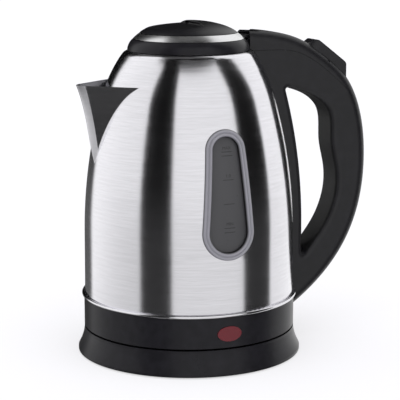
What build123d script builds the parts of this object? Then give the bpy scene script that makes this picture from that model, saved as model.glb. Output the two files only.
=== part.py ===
"""Cordless electric kettle: a steel jug that lifts off a round power base.

Millimetres. Z is up and the table is Z = 0. The jug's axis is X = Y = 0, the
handle points to +X, the spout to -X, and the water window faces -Y.
"""

import os
from math import cos, radians, sin, sqrt, tan

from build123d import *

os.makedirs("parts", exist_ok=True)

# Power base
base_radius = 80.0
base_flare = 4.5
base_rim_height = 1.0
base_land_height = 1.8
base_height = 17.2
base_shoulder = 1.6
base_wall = 2.2
base_cove_depth = 0.75
base_plate_thickness = 2.0
foot_ring_inset = 14.0
foot_ring_width = 6.0
foot_ring_seat = 1.0
foot_ring_chamfer = 0.5
base_screw_inset = 24.0
base_screw_count = 4
base_screw_length = 12.0
base_boss_radius = 4.0
vent_circle = 30.0
vent_count = 6
vent_length = 14.0
vent_width = 3.0
gland_rise = 7.6
gland_radius = 5.0
gland_bore_radius = 3.4
gland_proud = 1.5
gland_length = 11.5
gland_tail = 3.5
gland_step = 1.0
gland_chamfer = 0.8

# Connector between base and jug
post_radius = 16.4
post_rise = 11.4
post_chamfer = 1.0
post_flange = 5.0
post_flange_thickness = 2.4
post_seat_half = 3.0
post_seat_height = 3.0
post_clearance = 0.5
post_headroom = 1.2
pin_radius = 2.5
pin_hole_depth = 14.0
pin_ring_radius = 10.0
pin_ring_wall = 1.1
pin_length = 10.0
contact_clearance = 0.5
contact_wall = 0.4
contact_length = 10.0
contact_depth = 12.0

# Jug: black skirt under the steel body, with the control inside
skirt_step = 0.6
skirt_height = 21.1
skirt_wall = 2.2
seat_gap = 0.3
seam_gap = 1.4
seat_ring_radius = 54.0
seat_ring_width = 6.0
skirt_screw_inset = 9.5
skirt_screw_count = 3
skirt_screw_length = 16.0
skirt_boss_radius = 3.6
skirt_boss_height = 8.0
control_radius = 22.8
control_gap = 0.4
control_lift = 0.6
control_flange = 3.5
control_flange_thickness = 2.0
control_headroom = 3.0
bimetal_offset = 11.0
bimetal_radius = 6.0
bimetal_thickness = 0.8

# Steel body: a straight wall, two long arcs and a tight shoulder
body_lean = 0.34
straight_rise = 45.3
flank_radius = 357.0
flank_lean = 16.2
upper_radius = 92.1
upper_lean = 35.7
shoulder_radius = 6.6
body_wall = 0.8
bead_size = 1.15
bead_gap = 0.25
bead_offset = 1.0
foot_drop = 0.1
neck_flange = 2.25

# Heater
heater_rise = 5.6
heater_sheet = 1.2
heater_flange_drop = 0.8
heater_stud_radius = 3.2
heater_stud_hole = 9.0
spreader_radius = 57.0
spreader_thickness = 2.8
element_radius = 44.0
element_tube = 3.2
element_opening = 50.0

# Spout: each level's height above the body's foot, reach beyond the foot's radius and half angle
spout_levels = (
    (152.0, 7.9, 36.0),
    (141.0, 3.6, 34.0),
    (130.0, 1.2, 21.0),
    (108.0, -1.4, 12.0),
    (86.0, -4.4, 10.0),
)
spout_nose_radius = 9.0
spout_sheet = 0.9
spout_root = 30.0
spout_hole_rise = 126.0
spout_hole_height = 20.0
spout_hole_low_half = 8.5
spout_hole_high_half = 19.0
weld_gap = 0.05
strainer_half_width = 23.0
strainer_rise = 121.0
strainer_height = 29.0
strainer_corner = 4.0
strainer_margin = 4.0
strainer_sheet = 1.0
strainer_slots = 9
strainer_pitch = 4.2
strainer_slot_width = 1.8

# Water window and lamp
window_rise = 56.8
window_span = 54.7
window_high_radius = 9.5
window_low_radius = 13.8
frame_width = 5.0
frame_rise = 1.8
frame_sleeve = 1.5
frame_depth = 4.5
pane_recess = 1.8
pane_thickness = 2.0
gasket_thickness = 1.4
lamp_rise = 9.6
lamp_radius = 2.6
lamp_length = 9.0
lamp_gap = 0.4
lens_width = 17.5
lens_tall = 10.5
lens_rise = 0.5
lens_lip = 1.0
fit_gap = 0.15

# Collar and lid
collar_gap = 0.17
collar_height = 7.65
collar_overhang = 1.65
collar_draw = 3.9
collar_bulge_draw = 1.1
collar_bulge_rise = 4.15
spigot_wall = 2.2
spigot_drop = 5.0
lid_gap = 0.3
hinge_reach = 6.8
hinge_drop = 1.9
hinge_pin_radius = 1.5
running_clearance = 0.05
press_clearance = 0.01
knuckle_radius = 3.2
knuckle_half = 8.2
knuckle_room = 1.0
lug_wall = 1.7
lug_radius = 3.4
lug_root_radius = 1.8
lug_root_back = 6.5
lug_root_drop = 2.9
lid_clearance = 1.5
lid_wall = 1.6
lid_depth = 9.4
lid_corner = 1.5
lid_skirt = 2.4
lid_flange_thickness = 1.3
seal_drop = 4.95
seal_height = 2.5
seal_groove = 0.8
seal_play = 0.15
seal_gap = 0.4
arm_root_inset = 1.6
arm_knee_reach = 1.3
arm_relief = 0.5
trim_setback = 0.2
trim_draw = 4.7
trim_rise = 3.95
trim_bulge_draw = 2.0
trim_bulge_rise = 1.85
trim_lip = 0.8
dome_rise = 8.55
dome_swell = 5.65
dome_swell_inset = 11.64
dome_edge_angle = 38.0
dome_overlap = 0.2
dome_lift = 0.35
dome_rim = 1.2
dome_wall = 1.8
dome_ceiling_rise = 1.75
dome_ceiling_radius = 24.0
scoop_edge = 3.0
scoop_drop = 3.2
scoop_slope = 4.0
scoop_groove = 1.5
scoop_groove_lift = 0.6
scoop_groove_half = 14.0
lid_screw_circle = 22.0
lid_screw_count = 3
lid_screw_length = 9.0
lid_boss_radius = 3.2

# Handle: outlines from the body's foot radius outwards and from the collar's top upwards
handle_half = 13.0
handle_wall = 2.6
handle_round = 8.0
cavity_half = 10.4
strip_depth = 10.6
handle_gap = 0.3
insert_thickness = 3.0
insert_half = 11.2
insert_stop = 4.0
gap_corner = 1.5
gap_round = 4.0
cover_gap = 0.2
handle_outline = (
    (-36.9, 5.4),
    (-14.9, 3.8),
    (8.1, -2.2),
    (28.7, -14.6),
    (44.9, -29.2),
    (57.3, -54.4),
    (61.9, -87.4),
    (57.8, -125.9),
    (46.9, -153.4),
    (27.1, -179.2),
    (5.8, -196.9),
    (-6.9, -205.0),
)
grip_outline = (
    (-12.9, -33.0),
    (7.4, -39.4),
    (20.4, -44.8),
    (29.9, -54.4),
    (32.2, -66.0),
    (32.6, -78.4),
    (36.6, -98.4),
    (36.9, -112.4),
    (33.9, -125.4),
    (28.4, -137.3),
    (20.3, -148.9),
    (12.0, -159.5),
    (3.1, -169.5),
)
cover_seam = (
    (-40.9, -8.8),
    (-14.9, -9.1),
    (2.1, -10.8),
    (21.1, -20.4),
    (37.1, -33.4),
    (55.1, -49.4),
)
cavity_neck = ((-13.9, -28.4), (-17.9, -7.05))
cavity_tail_low = -188.6
cavity_tail_high = -165.4
wire_route = (
    (23.1, -29.2),
    (44.1, -51.4),
    (50.1, -98.4),
    (43.1, -131.4),
    (15.1, -175.4),
)
wire_radius = 1.1
wire_offset = 1.6
wire_bend = 5.0
wire_drop = 10.4
wire_turn = 5.5
wire_fall = 8.0
tail_hole_rise = 16.9
tail_hole_radius = 2.9
tail_hole_depth = 8.5
tail_hole_play = 0.3
tail_screw_offset = 8.0
tail_screw_rise = 13.4
tail_screw_length = 10.5
tail_screw_grip = 7.5

# Switch at the top of the handle, with its outlines from the switch's pivot
switch_reach = 29.1
switch_drop = 19.4
switch_half = 9.0
switch_clearance = 0.4
switch_pin_radius = 1.5
switch_pin_end = 0.9
switch_hub = 3.4
paddle_slope = 38.5
paddle_end = -19.2
paddle_run = 60.0
paddle_corner = 8.0
paddle_outline = (
    (-13.5, 13.8),
    (-7.8, 16.1),
    (-6.2, 16.0),
    (-5.2, 15.2),
    (13.7, 0.7),
    (15.2, -0.7),
    (15.8, -2.0),
    (15.8, -11.4),
    (14.0, -13.2),
    (0.0, -3.2),
    (-12.6, 7.0),
)
opening_outline = (
    (-15.4, 24.0),
    (-12.0, -1.0),
    (8.0, -18.0),
    (16.4, -15.0),
    (16.4, 4.0),
    (1.0, 24.0),
)
lever_reach_x = 9.0
lever_reach_z = 2.5
lever_tip_radius = 1.3
lever_half = 3.2
lever_hub = 2.6
lever_root_half = 1.4
lever_end_half = 0.7
lever_pin_radius = 1.2
fork_gap = 0.5
fork_overlap = 0.2
fork_prong = 1.8
fork_bridge = 3.0
fork_bridge_height = 6.5
fork_sink = 1.5

# Steam control inside the handle, from the body's foot radius and the collar's top
control_front_reach = -8.9
control_depth = 17.0
control_drop = 30.9
control_tall = 16.5
control_play = 0.3
control_chamfer_x = 5.5
control_chamfer_z = 4.5
cheek_radius = 3.0
cheek_gap = 0.5
cheek_half = 1.0
steam_drop = 23.4
steam_radius = 4.8
steam_bore = 3.2
steam_bimetal_radius = 5.5
steam_bimetal_thickness = 0.6
steam_bimetal_gap = 0.1
duct_gap = 0.2
duct_run = 14.0

# Fasteners
screw_radius = 1.3
screw_head = 2.9
screw_head_height = 1.4
screw_sink = 0.2
screw_play = 0.15

# Values that follow from the sizes above
touch_gap = 0.1
skirt_radius = base_radius - base_flare
body_foot_radius = skirt_radius - skirt_step
base_top_height = base_rim_height + base_height
foot_ring_radius = base_radius - foot_ring_inset
base_screw_circle = base_radius - base_screw_inset
gland_height = base_rim_height + gland_rise
gland_reach = base_radius + gland_proud
post_height = base_top_height + post_rise
skirt_low = base_top_height + seam_gap
skirt_floor = skirt_low + base_wall
skirt_high = skirt_low + skirt_height
skirt_screw_circle = skirt_radius - skirt_screw_inset
bead_height = skirt_high + bead_gap + bead_size
bead_centre_radius = body_foot_radius + bead_offset
body_foot_height = bead_height - foot_drop
straight_height = body_foot_height + straight_rise
heater_height = body_foot_height + heater_rise
heater_low = heater_height - heater_sheet
spreader_low = heater_low - spreader_thickness - weld_gap
element_height = spreader_low - element_tube - weld_gap
control_ceiling = post_height + post_headroom
control_top = element_height - control_headroom
strainer_low = body_foot_height + strainer_rise
strainer_middle = strainer_low + strainer_height / 2
spout_hole_low = body_foot_height + spout_hole_rise
spout_hole_high = spout_hole_low + spout_hole_height
window_low = body_foot_height + window_rise
window_high = window_low + window_span
lamp_height = skirt_low + lamp_rise
tail_hole_height = skirt_low + tail_hole_rise
tail_screw_height = skirt_low + tail_screw_rise


def save(builder, name):
    """Label a finished piece and write it to its own file."""
    builder.part.label = name
    export_step(builder.part, f"parts/{name}.step")


def normal_step(lean, length):
    """A step of the given length square to a wall that leans in by lean degrees."""
    return Vector(cos(radians(lean)) * length, sin(radians(lean)) * length)


def body_curve(gap):
    """Draw the steel body's outer line, moved out by gap, and return its two ends."""
    foot = Vector(body_foot_radius, body_foot_height)
    rise = straight_height - body_foot_height
    start = foot + Vector(-tan(radians(body_lean)) * rise, rise)
    low_end = foot + normal_step(body_lean, gap)
    Line(low_end, start + normal_step(body_lean, gap))
    leans = (body_lean, flank_lean, upper_lean, 90.0)
    radii = (flank_radius, upper_radius, shoulder_radius)
    for radius, first, last in zip(radii, leans, leans[1:]):
        centre = start - normal_step(first, radius)
        CenterArc(centre, radius + gap, first, last - first)
        start = centre + normal_step(last, radius)
    return low_end, start + normal_step(90.0, gap)


def body_neck():
    """Radius and height at which the steel body's shoulder ends."""
    rise = straight_height - body_foot_height
    place = Vector(body_foot_radius - tan(radians(body_lean)) * rise, straight_height)
    leans = (body_lean, flank_lean, upper_lean, 90.0)
    radii = (flank_radius, upper_radius, shoulder_radius)
    for radius, first, last in zip(radii, leans, leans[1:]):
        place = place - normal_step(first, radius) + normal_step(last, radius)
    return place.X, place.Y


def body_band(inner, outer):
    """Draw the closed outline of a layer between two offsets of the steel body."""
    inner_low, inner_high = body_curve(inner)
    outer_low, outer_high = body_curve(outer)
    Line(inner_low, outer_low)
    Line(inner_high, outer_high)


def window_outline(grow):
    """Draw the tall water window's outline, grown by the given amount."""
    with Locations((0, window_high)):
        Circle(window_high_radius + grow)
    with Locations((0, window_low)):
        Circle(window_low_radius + grow)
    make_hull()


def moved_points(points, distance, count):
    """Points along the spline through the given ones, moved square to its left."""
    path = Spline(*points)
    moved = []
    for index in range(count):
        share = index / (count - 1)
        place, along = path @ share, path % share
        moved.append((place.X - along.Y * distance, place.Y + along.X * distance))
    return moved


def spout_sections(shrink):
    """Height and corner points of each level of the spout, drawn in by shrink."""
    for rise, reach, half_angle in spout_levels:
        back = shrink / sin(radians(half_angle))
        nose = spout_nose_radius * (1 / sin(radians(half_angle)) - 1)
        point = body_foot_radius + reach + nose - back
        half = (point - spout_root) * tan(radians(half_angle))
        yield body_foot_height + rise, ((-spout_root, half), (-point, 0), (-spout_root, -half))


def placed(points, origin):
    """The given points, counted from an origin."""
    return [(origin[0] + x, origin[1] + z) for x, z in points]


# Places of the collar, the lid, the handle and the switch
neck_radius, neck_height = body_neck()
spigot_radius = neck_radius - neck_flange
mouth_radius = spigot_radius - spigot_wall
collar_low = neck_height + collar_gap
collar_high = collar_low + collar_height
collar_radius = neck_radius + collar_overhang
collar_top_radius = collar_radius - collar_draw
hinge_x = collar_top_radius + hinge_reach
hinge_z = collar_high - hinge_drop
lug_half = knuckle_half + lid_gap
lid_low = collar_high + lid_gap
lid_wall_radius = mouth_radius - lid_clearance
lid_flange_radius = lid_wall_radius + touch_gap
lid_flange_high = lid_low + lid_flange_thickness
lid_floor_height = collar_high - lid_depth
seal_low = collar_high - seal_drop
trim_radius = collar_top_radius - trim_setback
trim_top_radius = trim_radius - trim_draw
trim_top_height = lid_low + trim_rise
dome_height = trim_top_height + dome_rise
dome_ceiling = trim_top_height + dome_ceiling_rise
scoop_height = dome_height - scoop_drop
handle_origin = (body_foot_radius, collar_high)
handle_line = placed(handle_outline, handle_origin)
grip_line = placed(grip_outline, handle_origin)
seam_line = placed(cover_seam, handle_origin)
tail_hole_end = skirt_radius + tail_hole_depth
switch_pivot = (body_foot_radius + switch_reach, collar_high - switch_drop)
switch_plane = Plane(
    origin=(switch_pivot[0], 0, switch_pivot[1]),
    x_dir=(cos(radians(paddle_slope)), 0, -sin(radians(paddle_slope))),
    z_dir=(sin(radians(paddle_slope)), 0, cos(radians(paddle_slope))),
)
lever_pivot = (switch_pivot[0] - 2 * lever_reach_x, switch_pivot[1] - 2 * lever_reach_z)
lever_tip = (switch_pivot[0] - lever_reach_x, switch_pivot[1] - lever_reach_z)
control_front = body_foot_radius + control_front_reach
control_back = control_front + control_depth
control_low = collar_high - control_drop
control_high = control_low + control_tall
steam_height = collar_high - steam_drop
whole_reach = handle_line[6][0] + handle_half
whole_height = dome_height + handle_half

# Power base

with BuildPart() as base_cover:
    with BuildSketch(Plane.XZ):
        with BuildLine():
            land_top = base_rim_height + base_land_height
            shoulder = base_top_height - base_shoulder
            cove_radius = (base_radius + skirt_radius) / 2 - base_cove_depth
            cove_height = (land_top + shoulder) / 2
            Line((base_radius, base_rim_height), (base_radius, land_top))
            ThreePointArc((base_radius, land_top), (cove_radius, cove_height), (skirt_radius, shoulder))
            Line((skirt_radius, shoulder), (skirt_radius, base_top_height))
            hole = post_radius + fit_gap
            ceiling = base_top_height - base_wall
            inner = skirt_radius - base_wall
            Line((skirt_radius, base_top_height), (hole, base_top_height))
            Line((hole, base_top_height), (hole, ceiling))
            Line((hole, ceiling), (inner, ceiling))
            rim_inner = base_radius - base_wall
            ThreePointArc((inner, ceiling), (cove_radius - base_wall, cove_height), (rim_inner, land_top))
            Line((rim_inner, land_top), (rim_inner, base_rim_height))
            Line((rim_inner, base_rim_height), (base_radius, base_rim_height))
        make_face()
    revolve(axis=Axis.Z)
    plate_top = base_rim_height + base_plate_thickness
    with BuildSketch(Plane.XY.offset(ceiling)):
        with PolarLocations(base_screw_circle, base_screw_count, start_angle=45):
            Circle(base_boss_radius)
    extrude(amount=-(ceiling - plate_top - touch_gap))
    with BuildSketch(Plane.XY.offset(plate_top)):
        with PolarLocations(base_screw_circle, base_screw_count, start_angle=45):
            Circle(screw_radius + screw_play)
    extrude(amount=base_screw_length - base_plate_thickness + touch_gap, mode=Mode.SUBTRACT)
    with BuildSketch(Plane.XZ.offset(-gland_reach)):
        with Locations((0, gland_height)):
            Circle(gland_radius + fit_gap)
    extrude(amount=gland_length + gland_tail, mode=Mode.SUBTRACT)
save(base_cover, "base_cover")

with BuildPart() as base_plate:
    with BuildSketch(Plane.XY.offset(base_rim_height)):
        Circle(base_radius - base_wall - fit_gap)
    extrude(amount=base_plate_thickness)
    with BuildSketch(Plane.XY.offset(base_rim_height)):
        Circle(foot_ring_radius + fit_gap)
        Circle(foot_ring_radius - foot_ring_width - fit_gap, mode=Mode.SUBTRACT)
    extrude(amount=foot_ring_seat, mode=Mode.SUBTRACT)
    with BuildSketch(Plane.XY.offset(base_rim_height)):
        with PolarLocations(base_screw_circle, base_screw_count, start_angle=45):
            Circle(screw_radius + screw_play)
    extrude(amount=base_plate_thickness, mode=Mode.SUBTRACT)
    with BuildSketch(Plane.XY.offset(base_rim_height)):
        with PolarLocations(base_screw_circle, base_screw_count, start_angle=45):
            Circle(screw_head + screw_play)
    extrude(amount=screw_head_height - screw_sink, mode=Mode.SUBTRACT)
    with BuildSketch(Plane.XY.offset(base_rim_height)):
        with PolarLocations(vent_circle, vent_count):
            SlotOverall(vent_length, vent_width)
    extrude(amount=base_plate_thickness, mode=Mode.SUBTRACT)
    with BuildSketch(Plane.XY.offset(plate_top)):
        Circle(post_radius + post_seat_half)
        Circle(post_radius - post_seat_half, mode=Mode.SUBTRACT)
    extrude(amount=post_seat_height)
save(base_plate, "base_plate")

with BuildPart() as base_foot:
    with BuildSketch(Plane.XY):
        Circle(foot_ring_radius)
        Circle(foot_ring_radius - foot_ring_width, mode=Mode.SUBTRACT)
    extrude(amount=base_rim_height + foot_ring_seat)
    chamfer(base_foot.edges().group_by(Axis.Z)[0], length=foot_ring_chamfer)
save(base_foot, "base_foot")

with BuildPart() as base_screws:
    with BuildSketch(Plane.XY.offset(base_rim_height)):
        with PolarLocations(base_screw_circle, base_screw_count, start_angle=45):
            Circle(screw_head)
    extrude(amount=screw_head_height - screw_sink)
    with BuildSketch(Plane.XY.offset(base_rim_height)):
        with PolarLocations(base_screw_circle, base_screw_count, start_angle=45):
            Circle(screw_radius)
    extrude(amount=base_screw_length)
save(base_screws, "base_screws")

with BuildPart() as base_socket:
    socket_low = plate_top + post_seat_height
    slot_outer = pin_ring_radius + contact_clearance + contact_wall + fit_gap
    slot_inner = pin_ring_radius - pin_ring_wall - contact_clearance
    pin_hole = pin_radius + contact_clearance + contact_wall + fit_gap
    with BuildSketch(Plane.XY.offset(socket_low)):
        Circle(post_radius)
    extrude(amount=post_height - socket_low)
    chamfer(base_socket.edges().group_by(Axis.Z)[-1], length=post_chamfer)
    with BuildSketch(Plane.XY.offset(ceiling - touch_gap)):
        Circle(post_radius + post_flange)
    extrude(amount=-post_flange_thickness)
    with BuildSketch(Plane.XY.offset(post_height)):
        Circle(slot_outer)
        Circle(slot_inner, mode=Mode.SUBTRACT)
    extrude(amount=-contact_depth, mode=Mode.SUBTRACT)
    with BuildSketch(Plane.XY.offset(post_height)):
        Circle(pin_hole)
    extrude(amount=-pin_hole_depth, mode=Mode.SUBTRACT)
save(base_socket, "base_socket")

with BuildPart() as socket_contacts:
    with BuildSketch(Plane.XY.offset(post_height - contact_depth)):
        Circle(slot_outer - fit_gap)
        Circle(slot_outer - fit_gap - contact_wall, mode=Mode.SUBTRACT)
        Circle(pin_hole - fit_gap)
        Circle(pin_hole - fit_gap - contact_wall, mode=Mode.SUBTRACT)
    extrude(amount=contact_length)
save(socket_contacts, "socket_contacts")

with BuildPart() as cord_gland:
    with BuildSketch(Plane.XZ.offset(-gland_reach)):
        with Locations((0, gland_height)):
            Circle(gland_radius)
    extrude(amount=gland_length)
    with BuildSketch(Plane.XZ.offset(-gland_reach + gland_length)):
        with Locations((0, gland_height)):
            Circle(gland_radius - gland_step)
    extrude(amount=gland_tail)
    chamfer(cord_gland.edges().group_by(Axis.Y)[-1], length=gland_chamfer)
    with BuildSketch(Plane.XZ.offset(-gland_reach)):
        with Locations((0, gland_height)):
            Circle(gland_bore_radius)
    extrude(amount=gland_length + gland_tail, mode=Mode.SUBTRACT)
save(cord_gland, "cord_gland")

# Jug: skirt, control and heater

with BuildPart() as bottom_skirt:
    with BuildSketch(Plane.XZ):
        with BuildLine():
            control_hole = control_radius + control_gap
            Polyline(
                (skirt_radius, skirt_low),
                (skirt_radius, skirt_high),
                (skirt_radius - skirt_wall, skirt_high),
                (skirt_radius - skirt_wall, skirt_floor),
                (control_hole, skirt_floor),
                (control_hole, skirt_low),
                (seat_ring_radius - seat_ring_width, skirt_low),
                (seat_ring_radius - seat_ring_width, base_top_height + seat_gap),
                (seat_ring_radius, base_top_height + seat_gap),
                (seat_ring_radius, skirt_low),
                close=True,
            )
        make_face()
    revolve(axis=Axis.Z)
    boss_top = skirt_floor + skirt_boss_height
    with BuildSketch(Plane.XY.offset(skirt_floor)):
        with PolarLocations(skirt_screw_circle, skirt_screw_count, start_angle=60):
            Circle(skirt_boss_radius)
    extrude(amount=boss_top - skirt_floor)
    with BuildSketch(Plane.XY.offset(skirt_low)):
        with PolarLocations(skirt_screw_circle, skirt_screw_count, start_angle=60):
            Circle(screw_radius + screw_play)
    extrude(amount=boss_top - skirt_low, mode=Mode.SUBTRACT)
    with BuildSketch(Plane.XY.offset(skirt_low)):
        with PolarLocations(skirt_screw_circle, skirt_screw_count, start_angle=60):
            Circle(screw_head + screw_play)
    extrude(amount=screw_head_height, mode=Mode.SUBTRACT)
    with BuildSketch(Plane.XZ):
        with Locations((0, lamp_height)):
            Ellipse(lens_width / 2 + fit_gap, lens_tall / 2 + fit_gap)
    extrude(amount=whole_reach, mode=Mode.SUBTRACT)
    with BuildSketch(Plane.YZ):
        with Locations((0, tail_hole_height)):
            Circle(tail_hole_radius + tail_hole_play)
    extrude(amount=whole_reach, mode=Mode.SUBTRACT)
    with BuildSketch(Plane.YZ):
        with Locations((tail_screw_offset, tail_screw_height), (-tail_screw_offset, tail_screw_height)):
            Circle(screw_radius + screw_play)
    extrude(amount=whole_reach, mode=Mode.SUBTRACT)
save(bottom_skirt, "bottom_skirt")

with BuildPart() as skirt_screws:
    with BuildSketch(Plane.XY.offset(skirt_low)):
        with PolarLocations(skirt_screw_circle, skirt_screw_count, start_angle=60):
            Circle(screw_head)
    extrude(amount=screw_head_height)
    with BuildSketch(Plane.XY.offset(skirt_low)):
        with PolarLocations(skirt_screw_circle, skirt_screw_count, start_angle=60):
            Circle(screw_radius)
    extrude(amount=skirt_screw_length)
save(skirt_screws, "skirt_screws")

with BuildPart() as control_unit:
    with BuildSketch(Plane.XY.offset(skirt_low + control_lift)):
        Circle(control_radius)
    extrude(amount=control_top - skirt_low - control_lift)
    with BuildSketch(Plane.XY.offset(skirt_floor)):
        Circle(control_radius + control_flange)
    extrude(amount=control_flange_thickness)
    with BuildSketch(Plane.XY.offset(skirt_low)):
        Circle(post_radius + post_clearance)
    extrude(amount=control_ceiling - skirt_low, mode=Mode.SUBTRACT)
save(control_unit, "control_unit")

with BuildPart() as plug_contacts:
    with BuildSketch(Plane.XY.offset(control_ceiling)):
        Circle(pin_ring_radius)
        Circle(pin_ring_radius - pin_ring_wall, mode=Mode.SUBTRACT)
        Circle(pin_radius)
    extrude(amount=-pin_length)
save(plug_contacts, "plug_contacts")

with BuildPart() as control_bimetals:
    with BuildSketch(Plane.XY.offset(control_top)):
        with Locations((bimetal_offset, 0), (-bimetal_offset, 0)):
            Circle(bimetal_radius)
    extrude(amount=bimetal_thickness)
save(control_bimetals, "control_bimetals")

with BuildPart() as heater_plate:
    with BuildSketch(Plane.XZ):
        with BuildLine():
            plate_radius = body_foot_radius - body_wall - fit_gap
            flange_low = bead_height - heater_flange_drop
            Polyline(
                (0, heater_height),
                (plate_radius, heater_height),
                (plate_radius, flange_low),
                (plate_radius - heater_sheet, flange_low),
                (plate_radius - heater_sheet, heater_low),
                (0, heater_low),
                close=True,
            )
        make_face()
    revolve(axis=Axis.Z)
    stud_low = boss_top + touch_gap
    with BuildSketch(Plane.XY.offset(stud_low)):
        with PolarLocations(skirt_screw_circle, skirt_screw_count, start_angle=60):
            Circle(heater_stud_radius)
    extrude(amount=heater_low - stud_low)
    with BuildSketch(Plane.XY.offset(stud_low)):
        with PolarLocations(skirt_screw_circle, skirt_screw_count, start_angle=60):
            Circle(screw_radius + screw_play)
    extrude(amount=heater_stud_hole, mode=Mode.SUBTRACT)
save(heater_plate, "heater_plate")

with BuildPart() as heat_spreader:
    with BuildSketch(Plane.XY.offset(spreader_low)):
        Circle(spreader_radius)
    extrude(amount=spreader_thickness)
save(heat_spreader, "heat_spreader")

with BuildPart() as heating_element:
    with BuildSketch(Plane.XZ):
        with Locations((element_radius, element_height)):
            Circle(element_tube)
    revolve(axis=Axis.Z, revolution_arc=360 - element_opening)
save(heating_element, "heating_element")

# Steel body, spout and strainer

with BuildPart() as body_outside:
    with BuildSketch(Plane.XZ):
        with BuildLine():
            low_end, high_end = body_curve(weld_gap)
            Polyline(high_end, (0, high_end.Y), (0, low_end.Y), low_end)
        make_face()
    revolve(axis=Axis.Z)

with BuildPart() as spout_inside:
    for level, corners in spout_sections(spout_sheet):
        with BuildSketch(Plane.XY.offset(level)) as spout_level:
            with BuildLine():
                Polyline(*corners, close=True)
            make_face()
            fillet(spout_level.vertices().sort_by(Axis.X)[0], spout_nose_radius - spout_sheet)
    loft()

with BuildPart() as spout:
    for level, corners in spout_sections(0):
        with BuildSketch(Plane.XY.offset(level)) as spout_level:
            with BuildLine():
                Polyline(*corners, close=True)
            make_face()
            fillet(spout_level.vertices().sort_by(Axis.X)[0], spout_nose_radius)
    loft()
    add(spout_inside.part, mode=Mode.SUBTRACT)
    add(body_outside.part, mode=Mode.SUBTRACT)
save(spout, "spout")

with BuildPart() as body_shell:
    with BuildSketch(Plane.XZ):
        with BuildLine():
            body_band(-body_wall, 0)
        make_face()
        with Locations((bead_centre_radius, bead_height)):
            Circle(bead_size)
        with Locations((spigot_radius + lid_gap, neck_height - body_wall)):
            Rectangle(neck_flange, body_wall, align=(Align.MIN, Align.MIN))
    revolve(axis=Axis.Z)
    with BuildSketch(Plane.XZ):
        window_outline(frame_sleeve + fit_gap)
    extrude(amount=whole_reach, mode=Mode.SUBTRACT)
    with BuildSketch(Plane.YZ):
        with BuildLine():
            Polyline(
                (-spout_hole_low_half, spout_hole_low),
                (spout_hole_low_half, spout_hole_low),
                (spout_hole_high_half, spout_hole_high),
                (-spout_hole_high_half, spout_hole_high),
                close=True,
            )
        make_face()
    extrude(amount=-whole_reach, mode=Mode.SUBTRACT)
    with BuildSketch(Plane.YZ):
        with Locations((0, steam_height)):
            Circle(steam_radius + fit_gap)
    extrude(amount=whole_reach, mode=Mode.SUBTRACT)
save(body_shell, "body_shell")

with BuildPart() as spout_strainer:
    with BuildSketch(Plane.XZ):
        with BuildLine():
            body_band(-body_wall - seat_gap - strainer_sheet, -body_wall - seat_gap)
        make_face()
    revolve(axis=Axis.Z)
    with BuildSketch(Plane.YZ):
        with Locations((0, strainer_middle)):
            RectangleRounded(2 * strainer_half_width, strainer_height, strainer_corner)
    extrude(amount=-whole_reach, mode=Mode.INTERSECT)
    with BuildSketch(Plane.YZ):
        with Locations((0, strainer_middle)):
            with GridLocations(strainer_pitch, 1, strainer_slots, 1):
                SlotOverall(strainer_height - 2 * strainer_margin, strainer_slot_width, rotation=90)
    extrude(amount=-whole_reach, mode=Mode.SUBTRACT)
save(spout_strainer, "spout_strainer")

# Water window and lamp

with BuildPart() as window_frame:
    with BuildSketch(Plane.XZ):
        with BuildLine():
            body_band(weld_gap, frame_rise)
        make_face()
    revolve(axis=Axis.Z)
    with BuildSketch(Plane.XZ):
        window_outline(frame_width)
    extrude(amount=whole_reach, mode=Mode.INTERSECT)
    with BuildSketch(Plane.XZ):
        window_outline(0)
    extrude(amount=whole_reach, mode=Mode.SUBTRACT)
save(window_frame, "window_frame")

with BuildPart() as window_sleeve:
    with BuildSketch(Plane.XZ):
        with BuildLine():
            body_band(-frame_depth, weld_gap)
        make_face()
    revolve(axis=Axis.Z)
    with BuildSketch(Plane.XZ):
        window_outline(frame_sleeve)
    extrude(amount=whole_reach, mode=Mode.INTERSECT)
    with BuildSketch(Plane.XZ):
        window_outline(0)
    extrude(amount=whole_reach, mode=Mode.SUBTRACT)
save(window_sleeve, "window_sleeve")

with BuildPart() as window_pane:
    with BuildSketch(Plane.XZ):
        with BuildLine():
            body_band(-pane_recess - pane_thickness, -pane_recess)
        make_face()
    revolve(axis=Axis.Z)
    with BuildSketch(Plane.XZ):
        window_outline(-fit_gap)
    extrude(amount=whole_reach, mode=Mode.INTERSECT)
save(window_pane, "window_pane")

with BuildPart() as window_gasket:
    with BuildSketch(Plane.XZ):
        with BuildLine():
            body_band(-body_wall - fit_gap - gasket_thickness, -body_wall - fit_gap)
        make_face()
    revolve(axis=Axis.Z)
    with BuildSketch(Plane.XZ):
        window_outline(frame_width)
    extrude(amount=whole_reach, mode=Mode.INTERSECT)
    with BuildSketch(Plane.XZ):
        window_outline(frame_sleeve + fit_gap)
    extrude(amount=whole_reach, mode=Mode.SUBTRACT)
save(window_gasket, "window_gasket")

with BuildPart() as indicator_lens:
    with BuildSketch(Plane.XY.offset(skirt_low)):
        Circle(skirt_radius + lens_rise)
        Circle(skirt_radius - skirt_wall - lens_lip, mode=Mode.SUBTRACT)
    extrude(amount=skirt_high - skirt_low)
    with BuildSketch(Plane.XZ):
        with Locations((0, lamp_height)):
            Ellipse(lens_width / 2, lens_tall / 2)
    extrude(amount=whole_reach, mode=Mode.INTERSECT)
save(indicator_lens, "indicator_lens")

with BuildPart() as indicator_lamp:
    lamp_front = skirt_radius - skirt_wall - lens_lip - fit_gap - lamp_gap
    with BuildSketch(Plane.XZ.offset(lamp_front)):
        with Locations((0, lamp_height)):
            Circle(lamp_radius)
    extrude(amount=-lamp_length)
save(indicator_lamp, "indicator_lamp")

# Collar with the hinge lugs

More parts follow.
